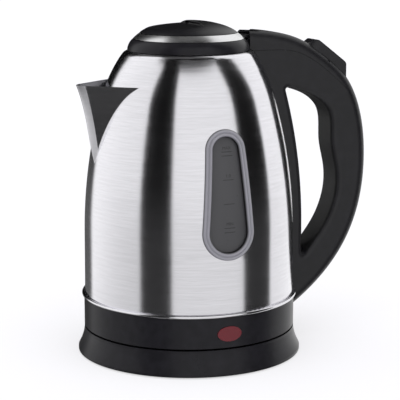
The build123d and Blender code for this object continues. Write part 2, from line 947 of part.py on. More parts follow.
with BuildPart() as top_collar:
    with BuildSketch(Plane.XZ):
        with BuildLine():
            Line((mouth_radius, collar_low - spigot_drop), (spigot_radius, collar_low - spigot_drop))
            Line((spigot_radius, collar_low - spigot_drop), (spigot_radius, collar_low))
            Line((spigot_radius, collar_low), (collar_radius, collar_low))
            bulge = (collar_radius - collar_bulge_draw, collar_low + collar_bulge_rise)
            ThreePointArc((collar_radius, collar_low), bulge, (collar_top_radius, collar_high))
            Line((collar_top_radius, collar_high), (mouth_radius, collar_high))
            Line((mouth_radius, collar_high), (mouth_radius, collar_low - spigot_drop))
        make_face()
    revolve(axis=Axis.Z)
    for side in (-1, 1):
        with BuildSketch(Plane.XZ.offset(-side * (lug_half + lug_wall / 2))) as lug:
            with Locations((hinge_x, hinge_z)):
                Circle(lug_radius)
            with Locations((hinge_x - lug_root_back, hinge_z - lug_root_drop)):
                Circle(lug_root_radius)
            make_hull()
        extrude(amount=lug_wall / 2, both=True)
    with BuildSketch(Plane.XZ):
        with Locations((hinge_x, hinge_z)):
            Circle(hinge_pin_radius + press_clearance)
    extrude(amount=lug_half + lug_wall, both=True, mode=Mode.SUBTRACT)
save(top_collar, "top_collar")

with BuildPart() as hinge_pin:
    with BuildSketch(Plane.XZ):
        with Locations((hinge_x, hinge_z)):
            Circle(hinge_pin_radius)
    extrude(amount=lug_half + lug_wall, both=True)
save(hinge_pin, "hinge_pin")

# Lid

with BuildPart() as lid_plate:
    with BuildSketch(Plane.XZ):
        with BuildLine():
            groove_low = seal_low - seal_play
            groove_high = seal_low + seal_height + seal_play
            Polyline(
                (0, lid_floor_height),
                (lid_wall_radius - lid_corner, lid_floor_height),
                (lid_wall_radius, lid_floor_height + lid_corner),
                (lid_wall_radius, groove_low),
                (lid_wall_radius - seal_groove, groove_low),
                (lid_wall_radius - seal_groove, groove_high),
                (lid_wall_radius, groove_high),
                (lid_wall_radius, lid_low),
                (lid_flange_radius, lid_low),
                (lid_flange_radius, lid_flange_high),
                (lid_wall_radius - lid_skirt, lid_flange_high),
                (lid_wall_radius - lid_skirt, lid_floor_height + lid_wall),
                (0, lid_floor_height + lid_wall),
                close=True,
            )
        make_face()
    revolve(axis=Axis.Z)
    with BuildSketch(Plane.XZ) as arm:
        with BuildLine():
            arm_root = lid_flange_radius - arm_root_inset
            arm_knee = collar_top_radius + arm_knee_reach
            Polyline(
                (arm_root, lid_low),
                (arm_knee, lid_low),
                (hinge_x - knuckle_radius + 2 * arm_relief, hinge_z - arm_relief),
                (hinge_x, hinge_z + knuckle_radius),
                (arm_knee - arm_relief, lid_flange_high + arm_relief),
                (arm_root, lid_flange_high),
                close=True,
            )
        make_face()
        with Locations((hinge_x, hinge_z)):
            Circle(knuckle_radius)
    extrude(amount=knuckle_half, both=True)
    with BuildSketch(Plane.XZ):
        with Locations((hinge_x, hinge_z)):
            Circle(hinge_pin_radius + running_clearance)
    extrude(amount=knuckle_half, both=True, mode=Mode.SUBTRACT)
    with BuildSketch(Plane.XY.offset(lid_floor_height)):
        with PolarLocations(lid_screw_circle, lid_screw_count, start_angle=90):
            Circle(screw_radius + screw_play)
    extrude(amount=lid_wall, mode=Mode.SUBTRACT)
save(lid_plate, "lid_plate")

with BuildPart() as lid_seal:
    with BuildSketch(Plane.XY.offset(seal_low)):
        Circle(mouth_radius - seal_gap)
        Circle(lid_wall_radius - seal_groove + seal_play, mode=Mode.SUBTRACT)
    extrude(amount=seal_height)
save(lid_seal, "lid_seal")

with BuildPart() as lid_trim:
    with BuildSketch(Plane.XZ):
        with BuildLine():
            bulge = (trim_radius - trim_bulge_draw, lid_low + trim_bulge_rise)
            ThreePointArc((trim_radius, lid_low), bulge, (trim_top_radius, trim_top_height))
            Polyline(
                (trim_top_radius, trim_top_height),
                (trim_top_radius - trim_lip, trim_top_height - trim_lip - touch_gap),
                (lid_flange_radius + lid_gap, lid_flange_high),
                (lid_flange_radius + 3 * lid_gap, lid_low),
                (trim_radius, lid_low),
            )
        make_face()
    revolve(axis=Axis.Z)
    with BuildSketch(Plane.XZ):
        with Locations((trim_radius, lid_low)):
            Rectangle(2 * hinge_reach, 2 * (lid_flange_thickness + 4 * lid_gap))
    extrude(amount=knuckle_half + fit_gap, both=True, mode=Mode.SUBTRACT)
save(lid_trim, "lid_trim")

with BuildPart() as lid_cover:
    with BuildSketch(Plane.XZ):
        with BuildLine():
            rim = trim_top_radius - dome_rim
            dome_edge = (trim_top_radius - dome_overlap, trim_top_height + dome_lift)
            dome_side = (trim_top_radius - dome_swell_inset, trim_top_height + dome_swell)
            dome_fall = tan(radians(dome_edge_angle))
            Spline((0, dome_height), dome_side, dome_edge, tangents=((1, 0), (1, -dome_fall)))
            Polyline(
                dome_edge,
                (rim, trim_top_height - lid_gap),
                (rim, lid_flange_high + fit_gap),
                (rim - dome_wall, lid_flange_high + fit_gap),
                (rim - dome_wall, lid_flange_high + dome_wall - lid_gap),
                (dome_ceiling_radius, dome_ceiling),
                (0, dome_ceiling),
                (0, dome_height),
            )
        make_face()
    revolve(axis=Axis.Z)
    with BuildSketch(Plane.XZ):
        with BuildLine():
            drop = collar_radius * tan(radians(scoop_slope))
            Polyline(
                (scoop_edge, scoop_height),
                (scoop_edge, whole_height),
                (scoop_edge - collar_radius, whole_height),
                (scoop_edge - collar_radius, scoop_height - drop),
                close=True,
            )
        make_face()
    extrude(amount=collar_radius, both=True, mode=Mode.SUBTRACT)
    with BuildSketch(Plane.XZ):
        with Locations((scoop_edge, scoop_height + scoop_groove_lift)):
            Circle(scoop_groove)
    extrude(amount=scoop_groove_half, both=True, mode=Mode.SUBTRACT)
    boss_low = lid_floor_height + lid_wall + touch_gap
    with BuildSketch(Plane.XY.offset(boss_low)):
        with PolarLocations(lid_screw_circle, lid_screw_count, start_angle=90):
            Circle(lid_boss_radius)
    extrude(amount=dome_ceiling - boss_low)
    with BuildSketch(Plane.XY.offset(boss_low)):
        with PolarLocations(lid_screw_circle, lid_screw_count, start_angle=90):
            Circle(screw_radius + screw_play)
    extrude(amount=lid_screw_length, mode=Mode.SUBTRACT)
save(lid_cover, "lid_cover")

with BuildPart() as lid_screws:
    with BuildSketch(Plane.XY.offset(lid_floor_height)):
        with PolarLocations(lid_screw_circle, lid_screw_count, start_angle=90):
            Circle(screw_head)
    extrude(amount=-screw_head_height)
    with BuildSketch(Plane.XY.offset(lid_floor_height)):
        with PolarLocations(lid_screw_circle, lid_screw_count, start_angle=90):
            Circle(screw_radius)
    extrude(amount=lid_screw_length)
save(lid_screws, "lid_screws")

# Handle

wall_points = moved_points(handle_line, -handle_wall, 20)[:18]
seat_points = moved_points(grip_line, insert_thickness + fit_gap, 14)
band_points = moved_points(grip_line, insert_thickness, 14)
front_points = moved_points(grip_line, -insert_thickness, 14)
back_points = moved_points(grip_line, insert_thickness / 2, 14)[1:13]

with BuildPart() as jug_form:
    with BuildSketch(Plane.XZ):
        with BuildLine():
            low_end, high_end = body_curve(handle_gap)
            Polyline(high_end, (0, high_end.Y), (0, low_end.Y), low_end)
        make_face()
        bead_low = bead_height - bead_size - handle_gap
        Rectangle(skirt_radius + handle_gap, bead_height, align=(Align.MIN, Align.MIN))
        with Locations((0, bead_low)):
            Rectangle(
                bead_centre_radius + bead_size + handle_gap,
                2 * (bead_size + handle_gap),
                align=(Align.MIN, Align.MIN),
            )
    revolve(axis=Axis.Z)

with BuildPart() as strip_form:
    with BuildSketch(Plane.YZ):
        with BuildLine():
            low_end, high_end = body_curve(strip_depth)
            Polyline(high_end, (0, high_end.Y), (0, low_end.Y), low_end)
        make_face()
    revolve(axis=Axis.Z)

with BuildPart() as seat_end_form:
    with BuildSketch(Plane.YZ):
        with BuildLine():
            low_end, high_end = body_curve(strip_depth + insert_stop)
            Polyline(high_end, (0, high_end.Y), (0, low_end.Y), low_end)
        make_face()
    revolve(axis=Axis.Z)

with BuildPart() as insert_end_form:
    with BuildSketch(Plane.YZ):
        with BuildLine():
            low_end, high_end = body_curve(strip_depth + insert_stop + fit_gap)
            Polyline(high_end, (0, high_end.Y), (0, low_end.Y), low_end)
        make_face()
    revolve(axis=Axis.Z)

with BuildPart() as finger_gap:
    gap_half = handle_half + handle_gap
    with BuildSketch(Plane.XZ.offset(-gap_half)):
        with BuildLine():
            Spline(*grip_line)
            Line(grip_line[-1], grip_line[0])
        make_face()
    extrude(amount=2 * gap_half)
    add(strip_form.part, mode=Mode.SUBTRACT)
    corner_edges = finger_gap.edges().group_by(Axis.Z)
    fillet(corner_edges[0] + corner_edges[-1], gap_corner)

with BuildPart() as insert_seat:
    with BuildSketch(Plane.XZ):
        with BuildLine():
            Spline(*front_points)
            Spline(*seat_points)
            Line(front_points[0], seat_points[0])
            Line(front_points[-1], seat_points[-1])
        make_face()
    extrude(amount=insert_half + fit_gap, both=True)
    add(seat_end_form.part, mode=Mode.SUBTRACT)

with BuildPart() as handle_cavity:
    with BuildSketch(Plane.XZ):
        with BuildLine():
            Spline(*wall_points)
            Spline(*back_points)
            tail_x = tail_hole_end - handle_gap
            tail_corners = placed(((0, cavity_tail_low), (0, cavity_tail_high)), (tail_x, collar_high))
            Polyline(wall_points[-1], *tail_corners, back_points[-1])
            neck_corners = placed(cavity_neck, handle_origin)
            Polyline(back_points[0], *neck_corners, (wall_points[0][0], neck_corners[1][1]), wall_points[0])
        make_face()
    extrude(amount=cavity_half, both=True)

with BuildPart() as cover_region:
    with BuildSketch(Plane.XZ):
        with BuildLine():
            Spline(*seam_line)
            Polyline(
                seam_line[-1],
                (whole_reach, seam_line[-1][1]),
                (whole_reach, whole_height),
                (seam_line[0][0], whole_height),
                seam_line[0],
            )
        make_face()
    extrude(amount=2 * handle_half, both=True)

with BuildPart() as handle_blank:
    with BuildSketch(Plane.XZ):
        with BuildLine():
            Spline(*handle_line)
            Polyline(handle_line[-1], (handle_line[0][0], handle_line[-1][1]), handle_line[0])
        make_face()
    extrude(amount=handle_half, both=True)
    fillet(handle_blank.edges().filter_by(GeomType.BSPLINE), handle_round)
    add(finger_gap.part, mode=Mode.SUBTRACT)
    gap_edges = ShapeList()
    for side_face in handle_blank.faces().filter_by(Axis.Y):
        for gap_wire in side_face.inner_wires():
            gap_edges += gap_wire.edges()
    fillet(gap_edges, gap_round)

with BuildPart() as handle_form:
    add(handle_blank.part)
    add(insert_seat.part, mode=Mode.SUBTRACT)
    add(jug_form.part, mode=Mode.SUBTRACT)
    add(handle_cavity.part, mode=Mode.SUBTRACT)
    with BuildSketch(Plane.XY.offset(neck_height - 2 * handle_round)):
        Circle(collar_radius + handle_gap)
    extrude(amount=whole_height - neck_height, mode=Mode.SUBTRACT)

with BuildPart() as handle_housing:
    add(handle_form.part)
    add(cover_region.part, mode=Mode.SUBTRACT)
    with BuildSketch(Plane.YZ):
        with Locations((0, tail_hole_height)):
            Circle(tail_hole_radius)
    extrude(amount=tail_hole_end, mode=Mode.SUBTRACT)
    with BuildSketch(Plane.YZ):
        with Locations((tail_screw_offset, tail_screw_height), (-tail_screw_offset, tail_screw_height)):
            Circle(screw_radius + screw_play)
    extrude(amount=skirt_radius + tail_screw_grip, mode=Mode.SUBTRACT)
    with BuildSketch(Plane.YZ):
        with Locations((0, steam_height)):
            Circle(steam_radius + fit_gap)
    extrude(amount=control_front, mode=Mode.SUBTRACT)
save(handle_housing, "handle_housing")

with BuildPart() as switch_opening:
    with BuildSketch(Plane.XZ):
        with BuildLine():
            Polyline(*placed(opening_outline, switch_pivot), close=True)
        make_face()
    extrude(amount=2 * switch_half, both=True)
    with BuildSketch(switch_plane):
        with Locations((paddle_end - switch_clearance, 0)):
            opening_width = 2 * (switch_half + switch_clearance)
            RectangleRounded(paddle_run, opening_width, paddle_corner, align=(Align.MIN, Align.CENTER))
    extrude(amount=paddle_run, both=True, mode=Mode.INTERSECT)

with BuildPart() as handle_cover:
    add(handle_form.part)
    with BuildSketch(Plane.XZ):
        with BuildLine():
            cover_line = placed(seam_line, (0, cover_gap))
            Spline(*cover_line)
            Polyline(
                cover_line[-1],
                (whole_reach, cover_line[-1][1]),
                (whole_reach, whole_height),
                (cover_line[0][0], whole_height),
                cover_line[0],
            )
        make_face()
    extrude(amount=2 * handle_half, both=True, mode=Mode.INTERSECT)
    with BuildSketch(Plane.XY.offset(collar_low)):
        with Locations((hinge_x + knuckle_radius + knuckle_room, 0)):
            Rectangle(hinge_x, 2 * knuckle_half + knuckle_room, align=(Align.MAX, Align.CENTER))
    extrude(amount=whole_height - collar_low, mode=Mode.SUBTRACT)
    add(switch_opening.part, mode=Mode.SUBTRACT)
    with BuildSketch(Plane.XZ):
        with Locations(switch_pivot):
            Circle(switch_pin_radius + press_clearance)
    extrude(amount=cavity_half + switch_pin_end + touch_gap, both=True, mode=Mode.SUBTRACT)
save(handle_cover, "handle_cover")

with BuildPart() as grip_insert:
    with BuildSketch(Plane.XZ):
        with BuildLine():
            Spline(*front_points)
            Spline(*band_points)
            Line(front_points[0], band_points[0])
            Line(front_points[-1], band_points[-1])
        make_face()
    extrude(amount=insert_half, both=True)
    add(insert_end_form.part, mode=Mode.SUBTRACT)
    add(handle_blank.part, mode=Mode.INTERSECT)
save(grip_insert, "grip_insert")

with BuildPart() as handle_screws:
    for side in (-1, 1):
        place = (side * tail_screw_offset, tail_screw_height)
        seat = sqrt((skirt_radius - skirt_wall) ** 2 - (tail_screw_offset + screw_head) ** 2) - touch_gap
        with BuildSketch(Plane.YZ.offset(seat)):
            with Locations(place):
                Circle(screw_head)
        extrude(amount=-screw_head_height)
        with BuildSketch(Plane.YZ.offset(seat)):
            with Locations(place):
                Circle(screw_radius)
        extrude(amount=tail_screw_length)
save(handle_screws, "handle_screws")

# Switch and steam control inside the handle

with BuildPart() as switch_paddle:
    with BuildSketch(Plane.XZ):
        with BuildLine():
            Polyline(*placed(paddle_outline, switch_pivot), close=True)
        make_face()
    extrude(amount=2 * switch_half, both=True)
    with BuildSketch(switch_plane):
        with Locations((paddle_end, 0)):
            RectangleRounded(paddle_run, 2 * switch_half, paddle_corner, align=(Align.MIN, Align.CENTER))
    extrude(amount=paddle_run, both=True, mode=Mode.INTERSECT)
    with BuildSketch(Plane.XZ):
        with Locations(switch_pivot):
            Circle(switch_hub)
    extrude(amount=switch_half, both=True)
    with BuildSketch(Plane.XZ):
        prong = lever_tip_radius + fork_gap
        prong_start = lever_tip[0] - fork_overlap
        prong_length = lever_reach_x - switch_hub + fork_overlap + fork_sink
        prong_low = lever_tip[1] - prong - fork_prong
        with Locations((prong_start, lever_tip[1] + prong), (prong_start, prong_low)):
            Rectangle(prong_length, fork_prong, align=(Align.MIN, Align.MIN))
        with Locations((lever_tip[0] + fork_bridge, prong_low)):
            Rectangle(
                prong_length - fork_bridge - fork_overlap,
                fork_bridge_height,
                align=(Align.MIN, Align.MIN),
            )
    extrude(amount=lever_half, both=True)
    with BuildSketch(Plane.XZ):
        with Locations(switch_pivot):
            Circle(switch_pin_radius + running_clearance)
    extrude(amount=handle_half, both=True, mode=Mode.SUBTRACT)
save(switch_paddle, "switch_paddle")

with BuildPart() as switch_pin:
    with BuildSketch(Plane.XZ):
        with Locations(switch_pivot):
            Circle(switch_pin_radius)
    extrude(amount=cavity_half + switch_pin_end, both=True)
save(switch_pin, "switch_pin")

with BuildPart() as steam_control:
    with BuildSketch(Plane.XZ):
        with BuildLine():
            Polyline(
                (control_front, control_low + control_chamfer_z),
                (control_front + control_chamfer_x, control_low),
                (control_back, control_low),
                (control_back, control_high),
                (control_front, control_high),
                close=True,
            )
        make_face()
    extrude(amount=cavity_half - control_play, both=True)
    for side in (-1, 1):
        with BuildSketch(Plane.XZ.offset(side * (lever_half + cheek_gap + cheek_half))):
            with Locations(lever_pivot):
                Circle(cheek_radius)
                Rectangle(
                    lever_pivot[0] - control_back + cheek_half,
                    2 * cheek_radius,
                    align=(Align.MAX, Align.CENTER),
                )
        extrude(amount=cheek_half, both=True)
    with BuildSketch(Plane.XZ):
        with Locations(lever_pivot):
            Circle(lever_pin_radius + press_clearance)
    extrude(amount=handle_half, both=True, mode=Mode.SUBTRACT)
save(steam_control, "steam_control")

with BuildPart() as lever_pin:
    with BuildSketch(Plane.XZ):
        with Locations(lever_pivot):
            Circle(lever_pin_radius)
    extrude(amount=lever_half + cheek_gap + 2 * cheek_half, both=True)
save(lever_pin, "lever_pin")

with BuildPart() as trip_lever:
    with BuildSketch(Plane.XZ):
        with Locations(lever_pivot):
            Circle(lever_hub)
        with BuildLine():
            Polyline(
                (lever_pivot[0], lever_pivot[1] - lever_root_half),
                (lever_tip[0], lever_tip[1] - lever_end_half),
                (lever_tip[0], lever_tip[1] + lever_end_half),
                (lever_pivot[0], lever_pivot[1] + lever_root_half),
                close=True,
            )
        make_face()
        with Locations(lever_tip):
            Circle(lever_tip_radius)
    extrude(amount=lever_half, both=True)
    with BuildSketch(Plane.XZ):
        with Locations(lever_pivot):
            Circle(lever_pin_radius + running_clearance)
    extrude(amount=handle_half, both=True, mode=Mode.SUBTRACT)
save(trip_lever, "trip_lever")

with BuildPart() as steam_bimetal:
    with BuildSketch(Plane.YZ.offset(control_front - steam_bimetal_gap)):
        with Locations((0, steam_height)):
            Circle(steam_bimetal_radius)
    extrude(amount=-steam_bimetal_thickness)
save(steam_bimetal, "steam_bimetal")

with BuildPart() as steam_duct:
    duct_start = control_front - duct_run
    duct_end = control_front - steam_bimetal_gap - steam_bimetal_thickness - duct_gap
    duct_length = duct_end - duct_start
    with BuildSketch(Plane.YZ.offset(duct_start)):
        with Locations((0, steam_height)):
            Circle(steam_radius)
            Circle(steam_bore, mode=Mode.SUBTRACT)
    extrude(amount=duct_length)
save(steam_duct, "steam_duct")

wire_points = placed(wire_route, handle_origin)

with BuildPart() as handle_wires:
    for side in (-1, 1):
        with BuildLine(Plane.XZ.offset(side * wire_offset)) as route:
            FilletPolyline(
                (control_back + duct_gap, wire_points[0][1]),
                *wire_points,
                (tail_hole_end + lid_clearance, tail_hole_height),
                (skirt_radius - wire_turn, tail_hole_height),
                (skirt_radius - wire_turn - wire_fall, skirt_low + wire_drop),
                (control_radius + handle_gap, skirt_low + wire_drop),
                radius=wire_bend,
            )
        with BuildSketch(Plane(route.line @ 0, z_dir=route.line % 0)):
            Circle(wire_radius)
        sweep(path=route.line)
save(handle_wires, "handle_wires")
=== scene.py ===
"""Studio look of an electric kettle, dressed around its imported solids.

Metres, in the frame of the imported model: Z is up, the jug's axis is X = Y = 0, the handle
points to +X, the spout to -X, and the water window faces -Y.
"""

import logging
import math
from dataclasses import dataclass, field
from enum import Enum
from typing import Any, Iterable, Mapping, Optional, Protocol, Sequence, Union

import bmesh
import bpy
import numpy as np
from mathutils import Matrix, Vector


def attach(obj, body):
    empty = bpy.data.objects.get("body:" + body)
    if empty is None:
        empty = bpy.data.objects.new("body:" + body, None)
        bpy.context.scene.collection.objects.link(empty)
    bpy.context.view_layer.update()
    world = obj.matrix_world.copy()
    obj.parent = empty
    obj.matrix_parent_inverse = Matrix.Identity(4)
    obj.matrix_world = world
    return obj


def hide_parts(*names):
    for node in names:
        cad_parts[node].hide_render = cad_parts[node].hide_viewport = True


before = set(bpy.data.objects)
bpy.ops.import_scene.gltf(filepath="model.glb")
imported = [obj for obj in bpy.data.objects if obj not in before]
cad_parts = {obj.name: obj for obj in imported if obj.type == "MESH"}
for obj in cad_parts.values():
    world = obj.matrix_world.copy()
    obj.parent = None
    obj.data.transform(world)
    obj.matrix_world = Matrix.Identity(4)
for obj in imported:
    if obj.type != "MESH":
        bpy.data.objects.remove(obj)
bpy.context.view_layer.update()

LOG = logging.getLogger("kettle")
MM = 0.001
NOISE_MEAN = 0.5
Array = np.ndarray
Pair = tuple[float, float]
Triple = tuple[float, float, float]
WHITE: Triple = (1.0, 1.0, 1.0)


def rgba(colour: Triple, factor: float = 1.0) -> tuple[float, float, float, float]:
    """A colour times a factor, with full cover."""
    return (colour[0] * factor, colour[1] * factor, colour[2] * factor, 1.0)


class Flow:
    """A node's output that takes part in sums: each operation adds one Math node."""

    def __init__(self, sheet: "NodeSheet", socket: Optional[bpy.types.NodeSocket]) -> None:
        """Wrap an output socket of a node on the sheet, or none if the node has none."""
        self.sheet = sheet
        self.socket = socket

    def other(self, name: str) -> "Flow":
        """Another output of the same node, by its name."""
        return Flow(self.sheet, self.socket.node.outputs[name])

    def _math(self, operation: str, *terms: Any) -> "Flow":
        """Add a Math node with the given operation and terms."""
        settings = {"operation": operation}
        return self.sheet.node("ShaderNodeMath", settings, dict(enumerate(terms)))

    def __add__(self, term: Any) -> "Flow":
        """This value plus a term."""
        return self._math("ADD", self, term)

    __radd__ = __add__

    def __sub__(self, term: Any) -> "Flow":
        """This value less a term."""
        return self._math("SUBTRACT", self, term)

    def __rsub__(self, term: Any) -> "Flow":
        """A term less this value."""
        return self._math("SUBTRACT", term, self)

    def __mul__(self, term: Any) -> "Flow":
        """This value times a term."""
        return self._math("MULTIPLY", self, term)

    __rmul__ = __mul__

    def __truediv__(self, term: Any) -> "Flow":
        """This value over a term."""
        return self._math("DIVIDE", self, term)

    def __pow__(self, term: Any) -> "Flow":
        """This value raised to a power."""
        return self._math("POWER", self, term)

    def sine(self) -> "Flow":
        """The sine of this value in radians."""
        return self._math("SINE", self)

    def swing(self, amount: float) -> "Flow":
        """A noise's swing about its mean, times an amount."""
        return (self - NOISE_MEAN) * amount

    def clipped(self) -> "Flow":
        """This value held between 0 and 1."""
        return self.sheet.node("ShaderNodeClamp", {}, {"Value": self})

    def step(self, low: float, high: float) -> "Flow":
        """A smooth step from 0 at low to 1 at high."""
        return self.sheet.node(
            "ShaderNodeMapRange",
            {"interpolation_type": "SMOOTHSTEP"},
            {"Value": self, "From Min": low, "From Max": high},
        )


class NodeSheet:
    """The nodes of one material or world, added one at a time."""

    def __init__(self, owner: Union[bpy.types.Material, bpy.types.World]) -> None:
        """Start an empty sheet on a material or world.

        Args:
            owner: What the nodes belong to.
        """
        owner.use_nodes = True
        self.tree = owner.node_tree
        self.tree.nodes.clear()

    def node(
        self,
        kind: str,
        settings: Mapping[str, Any],
        sockets: Mapping[Union[int, str], Any],
        output: Union[int, str] = 0,
    ) -> Flow:
        """Add a node, set it up, then fill its inputs.

        Args:
            kind: The node's type name.
            settings: Properties of the node, set first.
            sockets: Inputs by name or index, each a number, a tuple or a Flow.
            output: Which output to return, by name or index.

        Returns:
            The chosen output.
        """
        made = self.tree.nodes.new(kind)
        for name, value in settings.items():
            setattr(made, name, value)
        for name, value in sockets.items():
            if isinstance(value, Flow):
                self.tree.links.new(value.socket, made.inputs[name])
            else:
                made.inputs[name].default_value = value
        return Flow(self, made.outputs[output] if made.outputs else None)

    def place(self) -> Flow:
        """The place on the piece, from Object coordinates."""
        return self.node("ShaderNodeTexCoord", {}, {}, "Object")

    def axes(self, place: Flow) -> tuple[Flow, Flow, Flow]:
        """The X, Y and Z of a place."""
        split = self.node("ShaderNodeSeparateXYZ", {}, {0: place})
        return split, split.other("Y"), split.other("Z")

    def vector(self, x: Any, y: Any, z: Any) -> Flow:
        """A vector from three values."""
        return self.node("ShaderNodeCombineXYZ", {}, {0: x, 1: y, 2: z})

    def layer(self, name: str) -> Flow:
        """A number kept on the piece's points, 0 on a piece without it."""
        return self.node("ShaderNodeAttribute", {"attribute_name": name}, {}, "Fac")

    def noise(
        self, vector: Flow, scale: float, detail: float = 2.0, rough: float = 0.5
    ) -> Flow:
        """Soft noise of the given scale, about its mean."""
        return self.node(
            "ShaderNodeTexNoise",
            {},
            {"Vector": vector, "Scale": scale, "Detail": detail, "Roughness": rough},
        )

    def blend(self, share: Any, first: Any, second: Any) -> Flow:
        """A colour between two, by a share."""
        # A Mix node repeats its sockets' names: 6 and 7 take colours and 2 gives one.
        return self.node(
            "ShaderNodeMix", {"data_type": "RGBA"}, {0: share, 6: first, 7: second}, 2
        )

    def shade(self, share: Any, colour: Triple, factors: Pair) -> Flow:
        """A colour times a factor between two, by a share."""
        return self.blend(share, rgba(colour, factors[0]), rgba(colour, factors[1]))

    def bump(self, height: Flow, strength: float, depth: float) -> Flow:
        """A normal raised by a height, for fine relief.

        Args:
            height: The relief, 0 to 1.
            strength: How much of the relief shows.
            depth: The relief's real depth in metres.

        Returns:
            The new normal.
        """
        return self.node(
            "ShaderNodeBump", {}, {"Strength": strength, "Distance": depth, "Height": height}
        )

    def surface(self, sockets: Mapping[str, Any]) -> None:
        """Finish the material with one Principled shader."""
        shader = self.node("ShaderNodeBsdfPrincipled", {}, sockets)
        self.node("ShaderNodeOutputMaterial", {}, {"Surface": shader})

    def cover(self, share: Flow, under: Flow, over: Flow) -> None:
        """Finish the material with one shader over another, by a share."""
        mixed = self.node("ShaderNodeMixShader", {}, {0: share, 1: under, 2: over})
        self.node("ShaderNodeOutputMaterial", {}, {"Surface": mixed})


class Finish(Protocol):
    """Anything that can paint itself onto an empty node sheet."""

    def paint(self, sheet: NodeSheet) -> None:
        """Add the finish's nodes."""


@dataclass(frozen=True)
class BrushedSteel:
    """Sheet steel ground with a belt that ran round the jug's axis.

    Streaks are pitch high; fine ones are narrower by fine_along and shorter by fine_round.
    """

    colour: Triple
    roughness: float = 0.18
    streak: float = 0.12
    pitch: float = 1.1 * MM
    streaks_round: float = 2.5
    fine_round: float = 3.0
    fine_along: float = 4.0
    coarse_share: float = 0.6
    tone_span: Pair = (0.25, 0.75)
    patch_along: float = 30.0
    patch_scale: float = 0.8
    streak_gloss: float = 0.1
    patch_gloss: float = 0.08
    stretch: float = 0.7
    stretch_turn: float = 0.25
    # The spout's inner side: rougher, and darker as painted shade.
    inside_shade: float = 0.3
    inside_gloss: float = 0.2
    relief: float = 0.06
    depth: float = 0.05 * MM
    axis_guard: float = 1e-8

    def paint(self, sheet: NodeSheet) -> None:
        """Streaks of tone and gloss, long round the axis and fine along it.

        Args:
            sheet: The empty sheet.
        """
        x, y, z = sheet.axes(sheet.place())
        radius = (x * x + y * y + self.axis_guard) ** 0.5
        turn_x = x / radius * self.streaks_round
        turn_y = y / radius * self.streaks_round
        along = z / self.pitch
        coarse = sheet.noise(sheet.vector(turn_x, turn_y, along), 1.0, rough=0.6)
        fine_ways = (turn_x * self.fine_round, turn_y * self.fine_round)
        fine = sheet.noise(sheet.vector(*fine_ways, along * self.fine_along), 1.0)
        patch = sheet.noise(
            sheet.vector(turn_x, turn_y, z * self.patch_along), self.patch_scale
        )
        mixed = coarse * self.coarse_share + fine * (1.0 - self.coarse_share)
        tone = mixed.step(*self.tone_span)
        # This layer marks the spout's inner side, which is made rougher and darker. The
        # darkening is painted shade.
        dull_and_shaded = sheet.layer("dull_and_shaded")
        ground = sheet.shade(tone, self.colour, (1.0 - self.streak, 1.0))
        gloss = self.roughness + coarse.swing(self.streak_gloss) + patch.swing(self.patch_gloss)
        sheet.surface(
            {
                "Base Color": sheet.blend(dull_and_shaded, ground, rgba(self.colour, self.inside_shade)),
                "Metallic": 1.0,
                "Roughness": gloss + dull_and_shaded * self.inside_gloss,
                "Anisotropic": self.stretch,
                "Anisotropic Rotation": self.stretch_turn,
                "Normal": sheet.bump(fine * 0.5 + coarse * 0.5, self.relief, self.depth),
            }
        )


@dataclass(frozen=True)
class MouldedPlastic:
    """Moulded plastic with a fine spark-eroded grain and slow gloss patches."""

    colour: Triple
    roughness: float
    grain: float = 0.5 * MM
    relief: float = 0.12
    specular: float = 0.4
    patch_scale: float = 28.0
    patch_gloss: float = 0.1
    grain_gloss: float = 0.08
    haze_scale: float = 160.0
    haze_share: float = 0.6
    dust_span: Pair = (0.35, 0.7)
    dust_tones: Pair = (0.85, 1.25)
    depth: float = 0.06 * MM

    def paint(self, sheet: NodeSheet) -> None:
        """Grain in the relief, patches in the gloss, and a faint haze in the tone.

        Args:
            sheet: The empty sheet.
        """
        place = sheet.place()
        grain = sheet.noise(place, 1.0 / self.grain, detail=3.0, rough=0.6)
        patch = sheet.noise(place, self.patch_scale, detail=3.0, rough=0.55)
        haze = sheet.noise(place, self.haze_scale)
        mixed = haze * self.haze_share + patch * (1.0 - self.haze_share)
        dust = mixed.step(*self.dust_span)
        gloss = self.roughness + patch.swing(self.patch_gloss) + grain.swing(self.grain_gloss)
        sheet.surface(
            {
                "Base Color": sheet.shade(dust, self.colour, self.dust_tones),
                "Roughness": gloss.clipped(),
                "Specular IOR Level": self.specular,
                "Normal": sheet.bump(grain, self.relief, self.depth),
            }
        )


@dataclass(frozen=True)
class PolishedMetal:
    """Plated or drawn metal with fine wipe marks."""

    colour: Triple
    roughness: float
    mark_gloss: float = 0.05
    marks_round: float = 300.0
    marks_along: float = 2500.0
    cloud_scale: float = 90.0
    cloud_tones: Pair = (0.92, 1.04)
    relief: float = 0.03
    depth: float = 0.03 * MM

    def paint(self, sheet: NodeSheet) -> None:
        """Thin wipe marks in the gloss and a slow change of tone.

        Args:
            sheet: The empty sheet.
        """
        place = sheet.place()
        x, y, z = sheet.axes(place)
        thin = sheet.vector(x * self.marks_round, y * self.marks_round, z * self.marks_along)
        marks = sheet.noise(thin, 1.0, detail=3.0, rough=0.6)
        cloud = sheet.noise(place, self.cloud_scale)
        sheet.surface(
            {
                "Base Color": sheet.shade(cloud, self.colour, self.cloud_tones),
                "Metallic": 1.0,
                "Roughness": (self.roughness + marks.swing(self.mark_gloss)).clipped(),
                "Normal": sheet.bump(marks, self.relief, self.depth),
            }
        )


